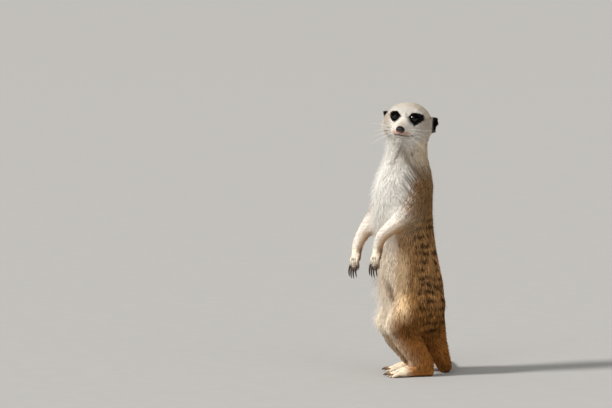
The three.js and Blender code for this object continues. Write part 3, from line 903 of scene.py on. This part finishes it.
def head_colours():
    """The face's ground colours, with a painted warm shade on the cheeks' outer edges, without the eye
    patches.
    """
    left, front, up = in_head(skin.points).T
    wide = np.abs(left)
    crown = ramp(11, 17, up) * fall(10, 19, front) * (0.5 + 0.5 * noise(skin.points, 7.0, 11))
    edge = mix(-12, 5, ramp(-10, 14, up)) + 2 * noise(skin.points, 6.0, 12)
    shades = laid(
        FACE_WHITE,
        (SMUDGE, 0.8 * np.clip(crown, 0, 1)),
        (mix(GRIZZLE, CREAM, 0.3), fall(edge - 9, edge + 5, front)),
        (colour(186, 152, 122), 0.6 * (bell(wide - 17.5, 5) * bell(up - 4, 6) * bell(front - 9, 9))),
        # a painted warm shade on the outer edges of both cheeks
        (colour(206, 172, 138), 0.25 * (ramp(16, 21, wide) * fall(-4, 3, up))),
    )
    forehead = 0.2 * ramp(5, 10, up) * ramp(0, 10, front)
    over_nose = ramp(28, 34, front) * ramp(-7.5, -4.5, up) * bell(left, 5.0)
    lip = bell(up + 10.8, 2.4) * ramp(29, 34, front)
    shades = shades * column(1 - forehead)
    return laid(shades, (colour(146, 130, 116), 0.6 * over_nose), (PINK, 0.85 * lip))


# How far the black round each eye reaches: inwards, outwards, over and under.
PATCH = {"left": (6.6, 13.4, 6.4, 8.6), "right": (6.0, 10.6, 5.8, 7.2)}


def patch_share(points):
    """1 on the black patch round each eye, which runs back and droops towards the nose."""
    shares = []
    for side in SIDES:
        across, above, ahead = in_eye(points, side)[0].T
        inwards, outwards, over, under = PATCH[side]
        width = np.where(across > 0, outwards, inwards)
        height = np.where(above > 0.12 * across, over, under - 2.6 * ramp(0, 9, across))
        far = np.hypot(across / width, (above - 0.12 * across) / height)
        ragged = 0.07 * noise(points, 1.7, 21)
        shares.append(fall(0.86, 1.02, far + ragged) * (ahead > -5))
    return np.max(shares, axis=0)


MOLE_TURN, MOLE_HEIGHT, MOLE_SIZE = 52, 231, 1.3
BAND_SPACING = 8.2


def marked(points, base, bands, ripple, on_face, on_ear):
    """The ground colours with bands, ripples, patches and the mole laid over them, and painted shade in the
    digits' clefts, at each point.
    """
    height = points[:, 2]
    side_turn = round_trunk(points)
    turn = np.abs(side_turn)
    off_face = 1 - on_face
    rows = height / BAND_SPACING + 0.33 * noise(points, 26.0, 31) + 0.25 * noise(points, 9.0, 32)
    row = np.abs(rows - np.floor(rows) - 0.5)
    broken = ramp(-0.45, 0.05, noise(points * [1, 1, 0.45], 6.5, 33))
    dash = fall(0.16, 0.28, row) * broken * bands
    flow = 0.52 * side_turn + CHEST_SWEEP * height * np.sign(side_turn)
    clump = noise(np.stack([flow, 0.1 * height, np.zeros(len(points))], axis=1), 1.8, 71)
    edge = np.abs(chest_sweep(points)) * bell(turn - 62, 16) * off_face
    wave = 0.5 + 0.5 * np.sin(height * 2.1 + 3 * noise(points, 8.0, 34))
    mole = np.hypot((side_turn - MOLE_TURN) * 0.33, height - MOLE_HEIGHT) / MOLE_SIZE
    left, front, up = in_head(points).T
    mouth = bell(up - mouth_line(np.abs(left)), 0.75) * ramp(MOUTH_CORNER - 2, MOUTH_CORNER + 2, front)
    shades = laid(
        base,
        (UMBER, 0.95 * dash),
        (GOLD, 0.3 * (ramp(0.3, 0.42, row) * bands)),
        (colour(92, 68, 46), 0.85 * ramp(0.1, 0.35, clump) * edge),
        (WHITE, 0.85 * ramp(0.1, 0.35, -clump) * edge),
        (0.8 * GOLD, 0.3 * ripple * ramp(0.35, 0.9, wave)),
        # painted shade in the clefts between the digits
        (SOLE_AND_CLEFT_SHADE, 0.85 * np.clip(1.3 * digit_clefts(points), 0, 1) * off_face),
        (UMBER, 0.8 * fall(0.6, 1.4, mole) * off_face),
        (EAR_BLACK, 0.99 * on_ear),
        (BLACK, 0.992 * patch_share(points) * on_face),
        (colour(70, 46, 40), 0.85 * mouth * on_face),
    )
    return np.clip(shades, 0, 1)


on_face = skin.blurred(on_head.astype(float), 10)
on_ear = ramp(0.3, 0.7, ear_share)
tip_way = points_of("tail_tip") @ LIES["tail_tip"]
tip_share = ramp(0.1, 0.55, (skin.points @ LIES["tail_tip"] - tip_way.min()) / np.ptp(tip_way))
tip_share = 0.93 * tip_share * skin.blurred((kind == "tail_tip") * 1.0, 3)
base = laid(broad_colours(), (head_colours(), on_face), (BLACK, tip_share))
around = np.abs(round_trunk(skin.points))
height = skin.points[:, 2]
rear = of_kind("belly", "chest", "thigh")
bands = skin.blurred(rear * ramp(78, 98, around) * ramp(36, 56, height) * fall(165, 195, height), 8)
ripple = skin.blurred(of_kind("forearm", "upper_arm") * fall(160, 180, height), 8)
ticks = of_kind("belly", "chest", "thigh", "neck", "upper_arm") * ramp(48, 66, around)
ticks = skin.blurred(np.where(of_kind("tail_root", "tail_middle", "shin"), 0.6, ticks), 8)
# Fewer dark ticks along the flank's ridge, which keeps its painted highlight bright, and high on the neck.
ticks *= (1 - 0.8 * flank_ridge(skin.points)) * (1 - 0.8 * ramp(218, 236, height))

# ------------ materials


def set_sockets(node, **values):
    """Sets the values of a node's sockets, whose names have _ for spaces here."""
    for name, value in values.items():
        node.inputs[name.replace("_", " ")].default_value = value
    return node


def add_node(nodes, kind, **values):
    return set_sockets(nodes.new("ShaderNode" + kind), **values)


def material(name, roughness, specular=0.5, coat=0.0):
    """A new node material, its nodes, its shader and its link maker."""
    made = bpy.data.materials.new(name)
    made.use_nodes = True
    nodes = made.node_tree.nodes
    shader = set_sockets(
        nodes["Principled BSDF"],
        Roughness=roughness,
        Specular_IOR_Level=specular,
        Coat_Weight=coat,
        Coat_Roughness=0.04,
    )
    return made, nodes, shader, made.node_tree.links.new


def grained(name, grain, contrast, bump, bump_scale, **finish):
    """A material of the painted colours, broken up by grain, with a bump."""
    made, nodes, shader, link = material(name, **finish)
    place = add_node(nodes, "TexCoord").outputs["Object"]
    shade = add_node(nodes, "Attribute")
    shade.attribute_name = "Coat"
    speck = add_node(nodes, "TexNoise", Scale=grain, Detail=3)
    spread = add_node(nodes, "MapRange", From_Min=0.3, From_Max=0.7, To_Min=1 - contrast, To_Max=1 + contrast)
    blend = add_node(nodes, "Mix", Factor=1)
    blend.data_type = "RGBA"
    blend.blend_type = "MULTIPLY"
    fine = add_node(nodes, "TexNoise", Scale=bump_scale, Detail=4)
    relief = add_node(nodes, "Bump", Strength=bump, Distance=0.0006)
    link(place, speck.inputs["Vector"])
    link(speck.outputs["Fac"], spread.inputs["Value"])
    link(shade.outputs["Color"], blend.inputs["A"])
    link(spread.outputs["Result"], blend.inputs["B"])
    link(blend.outputs["Result"], shader.inputs["Base Color"])
    link(place, fine.inputs["Vector"])
    link(fine.outputs["Fac"], relief.inputs["Height"])
    link(relief.outputs["Normal"], shader.inputs["Normal"])
    return made


FUR = grained("coat", 1400, 0.12, 0.15, 2600, roughness=0.8, specular=0.0)
HIDE = grained("hide", 1100, 0.16, 0.5, 1700, roughness=0.75, specular=0.05)
HORN = grained("horn", 700, 0.25, 0.3, 500, roughness=0.38, coat=0.15)
LEATHER = grained("leather", 1500, 0.2, 0.8, 1900, roughness=0.42, coat=0.25)
GLOSS = grained("gloss", 2500, 0.2, 0.0, 900, roughness=0.5, coat=0.7, specular=0.0)
WIRE = grained("whisker", 400, 0.1, 0.1, 900, roughness=0.5)

# ------------ pieces


def add_piece(name, points, faces, colours, look, nodes=()):
    """A smooth mesh of triangles in millimetres, with a colour at each vertex, riding on the one body."""
    mesh = bpy.data.meshes.new(name)
    mesh.vertices.add(len(points))
    mesh.vertices.foreach_set("co", (points * MM).ravel())
    mesh.loops.add(faces.size)
    mesh.loops.foreach_set("vertex_index", faces.ravel().astype(np.int32))
    mesh.polygons.add(len(faces))
    mesh.polygons.foreach_set("loop_start", np.arange(0, faces.size, 3, dtype=np.int32))
    mesh.update(calc_edges=True)
    mesh.shade_smooth()
    mesh.materials.append(look)
    layer = mesh.color_attributes.new("Coat", "FLOAT_COLOR", "POINT")
    full = np.ones((len(colours), 4), np.float32)
    full[:, :3] = colours
    layer.data.foreach_set("color", full.ravel())
    piece = linked(name, mesh)
    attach(piece, "root")
    if nodes:
        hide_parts(*nodes)
    return mesh


MARKS = (bands, ripple, on_face, on_ear)  # the shares that marked() paints by
# The skin under the coat is darker, more so under ticked fur: partly the dark base of ticked hair, partly
# painted shade under the coat.
skin_colours = marked(skin.points, base, *MARKS) * column(mix(0.95, 0.7, ticks))
lid_edge = np.zeros(len(skin.points))
furred = np.ones(len(skin.points))
for side in SIDES:
    _, reach, opening = in_eye(skin.points, side)
    lid_edge = np.maximum(lid_edge, fall(1.15, 1.5, opening) * (reach < EYE_RADIUS + 2))
    furred *= np.where(reach < EYE_RADIUS + 2.5, ramp(1.2, 1.45, opening), 1)
skin_colours = painted(skin_colours, colour(16, 12, 12), lid_edge)
add_piece("skin", skin.points, skin.faces, skin_colours, HIDE, FLESH)

# ------------ the coat

ROOT_DEPTH = 0.5  # how far under the skin a tuft starts
RING = ((-1.0, 0.0), (1.0, 0.0), (0.0, 0.9))  # a flat triangle, ridge outwards
PATCH_SIZE = 0.003  # a tuft's patch on the bake map


def spike_faces(rings):
    """The triangles of one spike of three-sided rings that ends in a point."""
    faces = [(2, 1, 0)]
    for ring in range(rings - 1):
        for corner in range(3):
            here, beside = 3 * ring + corner, 3 * ring + (corner + 1) % 3
            faces += [(here, beside, beside + 3), (here, beside + 3, here + 3)]
    last = 3 * (rings - 1)
    faces += [(last + corner, last + (corner + 1) % 3, 3 * rings) for corner in range(3)]
    return np.array(faces)


class Tufts:
    """Tufts to be: a root, its frame and its sizes for each."""

    def __init__(self, count_share, mask, seed):
        random = np.random.default_rng(100 + seed)
        cover = count_share / table[:, AREA] * mask
        total = np.cumsum(skin.areas * cover[skin.faces].mean(axis=1))
        count = int(total[-1])
        chosen = np.searchsorted(total, (np.arange(count) + random.random(count)) * total[-1] / count)
        chosen = np.clip(chosen, 0, len(skin.faces) - 1)
        first, second = random.random((2, count))
        flip = first + second > 1
        first, second = np.where(flip, 1 - first, first), np.where(flip, 1 - second, second)
        self.random = random
        self.corners = skin.faces[chosen]
        self.shares = np.stack([1 - first - second, first, second], axis=1)
        self.root = self.at(skin.points)
        self.normal = unit(self.at(skin.normals))
        self.lie = unit(self.at(lie))
        sizes = self.at(table)
        self.length, self.lift, self.width = sizes[:, LENGTH], sizes[:, LIFT], sizes[:, WIDTH]
        self.part = part[self.corners[:, 0]]
        self.count = count

    def at(self, values):
        """The skin's values at the roots."""
        picked = values[self.corners]
        shares = self.shares if picked.ndim == 2 else self.shares[:, :, None]
        return np.sum(picked * shares, axis=1)


def grown(tufts, steps, root_lift, tip_lift, stray):
    """The rings and points of the tufts, bending over from the root's lift to the tip's."""
    random = tufts.random
    length = tufts.length * random.uniform(0.72, 1.2, tufts.count)
    across = np.cross(tufts.normal, tufts.lie)
    clump = 0.17 * noise(tufts.root, 4.6, 41) + 0.10 * noise(tufts.root, 1.8, 42)
    swing = clump + random.normal(0, stray, tufts.count)
    lift = np.radians(tufts.lift * random.uniform(0.75, 1.3, tufts.count))
    hugging = np.radians(tufts.at(hug))
    place = tufts.root - tufts.normal * ROOT_DEPTH
    rings = []
    before = 0.0
    for step in steps:
        if step:
            halfway = (step + before) / 2
            rise = lift * mix(root_lift, tip_lift, halfway) + hugging * 2 * halfway
            bend = swing * (0.35 + 0.9 * halfway)
            flat = tufts.lie * column(np.cos(bend)) + across * column(np.sin(bend))
            way = flat * column(np.cos(rise)) + tufts.normal * column(np.sin(rise))
            place = place + way * column(length * (step - before))
        before = step
        if step == 1:
            rings.append(place)
            continue
        half = tufts.width / 2 * (1 - 0.25 * step)
        for side, ridge in RING:
            rings.append(place + across * column(side * half) + tufts.normal * column(ridge * half * 0.8))
    points = np.stack(rings, axis=1)
    points[:, :, 2] = np.maximum(points[:, :, 2], 0.15 + 0.1 * random.random((tufts.count, 1)))
    return points


def tuft_colours(tufts, points, steps):
    """Each tuft's colours at its rings: the markings where it lies, darker at the root (partly painted shade
    deep in the coat), in its own tone.
    """
    random = tufts.random
    ground = tufts.at(base)
    fields = [tufts.at(field) for field in MARKS]
    ticked = tufts.at(ticks)
    draw = random.random(tufts.count)
    own = np.exp(random.normal(0, 0.04 + 0.14 * ticked, tufts.count))
    own = own * np.where(draw < 0.26 * ticked, 0.36, 1) * np.where(draw > 1 - 0.2 * ticked, 1.35, 1)
    at_root = points[:, :3].mean(axis=1)
    at_tip = mix(points[:, -4:-1].mean(axis=1), points[:, -1], 0.5)
    found = []
    for step in steps:
        shade = marked(at_root if step < 0.3 else at_tip, ground, *fields)
        # Darker towards the root: partly the dark base of ticked hair, partly painted shade deep in the coat.
        deep = mix(mix(0.94, 0.68, ticked), 1.02, min(1.0, step * 1.6))
        found += [shade * column(own * deep)] * (1 if step == 1 else 3)
    return np.clip(np.stack(found, axis=1), 0, 1)


MOST_TRIANGLES = 190000  # in one piece


def unwrapped(tufts, region, chosen):
    """Where each root lies on its region's own shape, opened out like a tube: round it, then along it."""
    root = tufts.root[chosen]
    if region == "trunk":
        return round_trunk(root), root[:, 2]
    if region == "head":
        left, front, up = in_head(root).T
        return np.degrees(np.arctan2(left, up + 2)), front
    around, along = np.zeros(len(root)), np.zeros(len(root))
    for index in np.unique(tufts.part[chosen]):
        mine = tufts.part[chosen] == index
        name = FLESH[index]
        away = root[mine] - middle(name)
        axis = LIES[name]
        flat = unit(np.cross(axis, [0.3, 0.2, 0.93]))
        span = np.ptp(points_of(name) @ axis)
        around[mine] = np.degrees(np.arctan2(away @ flat, away @ np.cross(axis, flat)))
        along[mine] = away @ axis / span + 1.1 * index
    _, along[:] = np.unique(along, return_inverse=True)
    return around, along


def spread_unit(values):
    low, high = values.min(), values.max()
    return 0.004 + 0.992 * (values - low) / max(high - low, 1e-6)


SKIN_SHARE = 0.68  # how much a tuft is shaded like the skin under it


def soften(mesh, skin_normals):
    """Shades tufts partly as the skin under them, as fine hair looks."""
    own = rows_of(mesh.vertices, "normal", np.float32)
    shaded = unit(mix(own, unit(skin_normals), SKIN_SHARE))
    mesh.normals_split_custom_set_from_vertices(shaded)


def coat_piece(name, tufts, region, chosen, points, colours):
    """One joined mesh of tufts with its colours and its bake map."""
    corners = points.shape[1]
    rings = (corners - 1) // 3
    first_corners = (np.arange(len(chosen)) * corners)[:, None, None]
    triangles = (spike_faces(rings)[None] + first_corners).reshape(-1, 3)
    points, colours = points[chosen].reshape(-1, 3), colours[chosen].reshape(-1, 3)
    mesh = add_piece(name, points, triangles, colours, FUR)
    soften(mesh, np.repeat(tufts.normal[chosen] + 0.35 * tufts.lie[chosen], corners, axis=0))
    patch = [(side, 2 * ring / rings - 1 + 0.12 * ridge) for ring in range(rings) for side, ridge in RING]
    patch = np.array(patch + [(0, 1)]) * PATCH_SIZE / 2
    spots = np.stack([spread_unit(values) for values in unwrapped(tufts, region, chosen)], axis=1)
    spots = (spots[:, None, :] + patch[None]).reshape(-1, 2)
    layer = mesh.uv_layers.new(name="OFBake")
    layer.uv.foreach_set("vector", spots[triangles.ravel()].astype(np.float32).ravel())


def coat_over(prefix, tufts, steps, root_lift, tip_lift, stray):
    """Grows these tufts and splits them into pieces by region."""
    points = grown(tufts, steps, root_lift, tip_lift, stray)
    colours = tuft_colours(tufts, points, steps)
    most = MOST_TRIANGLES // len(spike_faces(len(steps) - 1))
    for region, names in REGIONS.items():
        inside = np.flatnonzero(np.isin(KIND[tufts.part], names))
        if not len(inside):
            continue
        order = inside[np.argsort(unwrapped(tufts, region, inside)[1], kind="stable")]
        for number, chosen in enumerate(np.array_split(order, -(-len(inside) // most))):
            coat_piece(f"{prefix}_{region}_{number + 1}", tufts, region, chosen, points, colours)


left, front, up = in_head(skin.points).T
furred *= ramp(0.95, 1.15, sizes_of((skin.points - middle("nose")) @ HEAD_AXES / [5.1, 4.0, 3.5]))
mouth_gap = np.abs(up - mouth_line(np.abs(left)))
furred *= np.where(on_head & (front > MOUTH_CORNER), ramp(0.5, 1.2, mouth_gap), 1)
furred *= 1 - ramp(0.55, 0.85, -skin.normals[:, 2]) * fall(2, 6, height) * (kind == "hind_paw")
furred *= np.where(on_ear_node, 0.6, 1.0)
SHORT_STEPS = (0.0, 0.52, 1.0)  # the rings' places along a tuft, and its tip's
LONG_STEPS = (0.0, 0.35, 0.68, 1.0)
coat_over("coat", Tufts(1.0, furred, seed=1), SHORT_STEPS, root_lift=1.55, tip_lift=0.35, stray=0.10)

# Loose long hairs: the throat's and chest's ruff, the belly's edge, the elbows and the thighs' backs.
around = round_trunk(skin.points)
ruff = of_kind("neck", "chest") * bell(around + 35, 60)
fringe = of_kind("belly", "thigh") * bell(around + 10, 50)
fringe = fringe * fall(120, 160, height) * ramp(30, 60, height)
elbow = of_kind("upper_arm", "forearm") * 0.5
loose_mask = 1.3 * ruff + 1.2 * fringe + elbow + 0.2 * (kind == "thigh") + 0.35 * (kind == "chest")
loose = Tufts(0.115, skin.blurred(loose_mask, 4), seed=2)
fringed, ruffed = loose.at(fringe), loose.at(ruff)
loose.length *= 0.95 + 0.6 * fringed + 0.2 * ruffed
loose.lift = loose.lift + 16 + 10 * fringed + 12 * ruffed
loose.width *= 0.42
coat_over("loose", loose, LONG_STEPS, root_lift=1.35, tip_lift=0.75, stray=0.2)
ruffled = Tufts(0.12, skin.blurred(cheek * face, 3), seed=3)
ruffled.length *= 1.05
ruffled.lift += 14
ruffled.width *= 0.6
coat_over("cheek", ruffled, LONG_STEPS, root_lift=1.3, tip_lift=0.8, stray=0.16)

# ------------ the eyes


def ring_faces(rows, sides):
    """Triangles over rows of rings, closed by the two last points: one before them and one after."""
    start, end = rows * sides, rows * sides + 1
    last = (rows - 1) * sides
    faces = []
    for side in range(sides):
        beside = (side + 1) % sides
        faces += [(start, beside, side), (end, last + side, last + beside)]
        for here in range(0, last, sides):
            there = here + sides
            faces.append((here + side, here + beside, there + beside))
            faces.append((here + side, there + beside, there + side))
    return np.array(faces)


def ball(rings, segments):
    """Angles over a ball, ring by ring from its front, then its front and back, and its faces."""
    polar = np.repeat(np.linspace(0, math.pi, rings + 1)[1:-1], segments)
    turns = np.tile(np.arange(segments) * 2 * math.pi / segments, rings - 1)
    return np.append(polar, [0, math.pi]), np.append(turns, [0, 0]), ring_faces(rings - 1, segments)


CORNEA = math.radians(40)
IRIS = math.radians(37)


def eyeball(side):
    """A dark wet eye: a level oval pupil, a deep brown streaked iris and a bulging cornea."""
    polar, turns, faces = ball(36, 64)
    radius = EYE_RADIUS + 0.32 * fall(0, CORNEA, polar) - 0.02
    local = np.stack([np.sin(polar) * np.cos(turns), np.sin(polar) * np.sin(turns), np.cos(polar)], axis=1)
    points = middle(f"eye_{side}") + local * column(radius) @ eye_axes(side).T
    streak = (0.5 + 0.5 * np.sin(turns * 23 + 2 * np.sin(turns * 5))) * ramp(0.25, 0.5, polar)
    pupil = fall(0.9, 1.1, np.hypot(polar * np.cos(turns) / 0.36, polar * np.sin(turns) / 0.27))
    shades = laid(
        colour(7, 5, 4),
        (colour(20, 13, 9), streak),
        (colour(3, 3, 3), pupil),
        (colour(7, 5, 5), ramp(IRIS - 0.08, IRIS, polar)),
        (colour(40, 30, 26), ramp(1.0, 1.2, polar)),
    )
    add_piece(f"eyeball_{side}", points, faces[:, ::-1], shades, GLOSS, [f"eye_{side}"])


for side in SIDES:
    eyeball(side)

# ------------ the nose

NOSE_HALF = np.array([4.3, 3.0, 2.75])


def nose_pad():
    """A leathery pad with two comma nostrils and the groove between them."""
    polar, turns, faces = ball(48, 72)
    left, front, up = np.sin(polar) * np.cos(turns), np.cos(polar), np.sin(polar) * np.sin(turns)
    round_pad = np.stack([left, front, up], axis=1)
    wide = np.abs(left)
    points = round_pad * column(1 + 0.12 * (wide * np.abs(up)) ** 0.7) * NOSE_HALF
    points[:, 0] *= 1 - 0.22 * ramp(0.1, 1.0, -up)
    ahead = ramp(0.0, 0.35, front)
    hole = np.hypot((wide - 0.50) / 0.20, (up + 0.12) / 0.24)
    tail = np.hypot((wide - 0.74) / 0.22, (up + 0.26 + 0.3 * (wide - 0.74)) / 0.09)
    sunk = 1.5 * fall(0.4, 1.1, hole) + 0.9 * fall(0.3, 1.1, tail)
    sunk += 0.35 * bell(left, 0.06) * fall(0.1, 0.5, up)
    rim = 0.22 * bell(hole - 1.35, 0.25)
    points[:, 1] += ahead * (rim - sunk)
    shades = laid(
        colour(20, 15, 15),
        (colour(118, 80, 70), 0.85 * ramp(0.2, 0.75, -up) * ahead),
        # painted shade in the nostrils and the groove, darker where they sink deeper
        (colour(6, 4, 4), ahead * np.clip(sunk / 1.2, 0, 1)),
    )
    points = middle("nose") + points @ HEAD_AXES.T
    add_piece("nose_pad", points, faces, shades, LEATHER, ["nose"])


nose_pad()

# ------------ tubes: claws and whiskers


def tube(line, radii, sides, squash=1.0, upright=(0, 0, 1)):
    """The points and faces of a closed tube along a line, squashed across by a share."""
    ways = unit(np.gradient(line, axis=0))
    across = unit(np.cross(ways, upright))
    above = np.cross(across, ways)
    turns = np.arange(sides) * 2 * math.pi / sides
    outwards = across[:, None] * column(np.cos(turns) * squash) + above[:, None] * column(np.sin(turns))
    rings = line[:, None] + column(radii)[:, :, None] * outwards
    return np.concatenate([rings.reshape(-1, 3), line[:1], line[-1:]]), ring_faces(len(line), sides)


HORN_SHADES = {
    "fore": (colour(74, 56, 46), colour(26, 20, 18)),
    "hind": (colour(150, 120, 92), colour(84, 62, 48)),
}
CLAW_ROWS, CLAW_SIDES = 14, 12


def claw(name, limb, paw, bend):
    """A curved claw from its root in the toe to its point, in its solid's place."""
    points = points_of(name)
    centre = points.mean(axis=0)
    way = np.linalg.svd(points - centre)[2][0]
    if (centre - middle(paw)) @ way < 0:
        way = -way
    along = (points - centre) @ way
    root, tip = centre + way * along.min(), centre + way * along.max()
    thick = np.percentile(sizes_of(points - centre - np.outer(along, way)), 80)
    share = np.linspace(0, 1, CLAW_ROWS)
    droop = unit(np.cross(np.cross(way, bend), way))
    arch = 0.10 * np.ptp(along) * (4 * share * (1 - share))
    line = root - way * 0.6 + np.outer(share, tip - root + way * 0.6) - np.outer(arch, droop)
    radii = 0.88 * thick * np.sqrt(1.02 - share ** 1.6)
    points, faces = tube(line, radii, CLAW_SIDES, 0.72, droop)
    shades = mix(*HORN_SHADES[limb], column(ramp(0.1, 0.8, share)))
    shades = np.concatenate([np.repeat(shades, CLAW_SIDES, axis=0), shades[:1], shades[-1:]])
    add_piece(name + "_horn", points, faces, shades, HORN, [name])


HAND_HEIGHT = 110.0
CLAW_BEND = {"fore": -front_of(np.array([HAND_HEIGHT]))[0][0], "hind": DOWN}
for name in sorted(name for name in NODES if "_claw_" in name):
    limb, _, side, _ = name.split("_")
    claw(name, limb, f"{limb}_paw_{side}", CLAW_BEND[limb])

WHISKER_ROWS = 4
WHISKERS_IN_ROW = 2
SKIN_TREE = skin.tree()


def whiskers(side):
    """Pale tapering whiskers from the lip, sweeping out and back."""
    random = np.random.default_rng(50 + SIDES[side])
    made = []
    for row in range(WHISKER_ROWS):
        for place in range(WHISKERS_IN_ROW):
            lip = np.array([SIDES[side] * (7.0 + 0.8 * place), 33 - 2.6 * place, -6.6 - 1.5 * row])
            start = np.array(SKIN_TREE.find_nearest((HEAD + HEAD_AXES @ lip).tolist())[0])
            length = random.uniform(24, 36) - row
            way = SIDES[side] * LEFT * (1.0 + 0.1 * place) - FRONT * random.uniform(0.1, 0.55)
            way = unit(way + UP * (0.16 - 0.26 * row + random.normal(0, 0.08)))
            share = np.linspace(0, 1, 11)
            sweep = unit(-0.8 * FRONT - 0.6 * UP)
            line = start + np.outer(share * length - 0.6, way) + np.outer(0.2 * length * share ** 2, sweep)
            made.append(tube(line, 0.11 * (1 - share) + 0.02, 5))
    points, faces = joined(made)
    shades = np.tile(colour(236, 230, 218), (len(points), 1))
    add_piece(f"whiskers_{side}", points, faces, shades, WIRE)


for side in SIDES:
    whiskers(side)

# ------------ floor, lights and camera

AZIMUTH, RISE = math.radians(66), math.radians(3.5)
ACROSS = np.array([math.cos(AZIMUTH), math.sin(AZIMUTH), 0])
TOWARD = np.array([math.sin(AZIMUTH) * math.cos(RISE), -math.cos(AZIMUTH) * math.cos(RISE), math.sin(RISE)])
ABOVE = np.cross(TOWARD, ACROSS)
HEAD_ACROSS, HEAD_ABOVE = 107.0, 85.8  # how far the head is from the middle of the view
CAMERA_AWAY = 3980
LENS = 224.1


def turned_to(thing, back):
    """Points a camera or a light away from a direction, with level sides."""
    side = unit(np.cross([0, 0, 1], back))
    axes = np.stack([side, np.cross(back, side), back], axis=1)
    thing.matrix_world = Matrix(axes.tolist()).to_4x4()


camera = linked("camera", bpy.data.cameras.new("camera"))
camera.data.lens = LENS
camera.data.clip_end = 500
turned_to(camera, TOWARD)
camera.location = (HEAD - HEAD_ACROSS * ACROSS - HEAD_ABOVE * ABOVE + CAMERA_AWAY * TOWARD) * MM
bpy.context.scene.camera = camera

FLOOR_HALF = 150.0


def floor():
    """A very wide pale floor with a faint plaster grain."""
    shape = bmesh.new()
    bmesh.ops.create_grid(shape, x_segments=8, y_segments=8, size=FLOOR_HALF)
    piece = linked("floor", meshed(shape, "floor"))
    made, nodes, shader, link = material("floor", roughness=0.85, specular=0.2)
    place = add_node(nodes, "TexCoord")
    speck = add_node(nodes, "TexNoise", Scale=40)
    tint = add_node(nodes, "ValToRGB")
    tint.color_ramp.elements[0].color = (0.40, 0.395, 0.385, 1)
    tint.color_ramp.elements[1].color = (0.43, 0.425, 0.415, 1)
    link(place.outputs["Object"], speck.inputs["Vector"])
    link(speck.outputs["Fac"], tint.inputs["Fac"])
    link(tint.outputs["Color"], shader.inputs["Base Color"])
    piece.data.materials.append(made)


floor()


def sun(name, back, strength, softness, shade):
    """A far soft light that comes from a direction."""
    light = linked(name, bpy.data.lights.new(name, "SUN"))
    light.data.energy = strength
    light.data.angle = math.radians(softness)
    light.data.color = shade
    light.visible_glossy = name != "fill"
    turned_to(light, unit(back))


sun("key", -0.8 * ACROSS + 0.62 * ABOVE + 0.42 * TOWARD, 4.1, 11, (1.0, 0.975, 0.94))
sun("window", -0.35 * ACROSS + 0.5 * ABOVE + 0.8 * TOWARD, 0.35, 20, (0.92, 0.96, 1.0))
sun("fill", 0.5 * ACROSS + 0.3 * ABOVE + 0.9 * TOWARD, 0.5, 40, (1.0, 0.96, 0.91))
world = bpy.data.worlds.new("studio")
bpy.context.scene.world = world
world.use_nodes = True
set_sockets(world.node_tree.nodes["Background"], Color=(1.0, 0.98, 0.95, 1), Strength=0.5)
world.cycles_visibility.glossy = False
bpy.context.scene.view_settings.view_transform = "Standard"
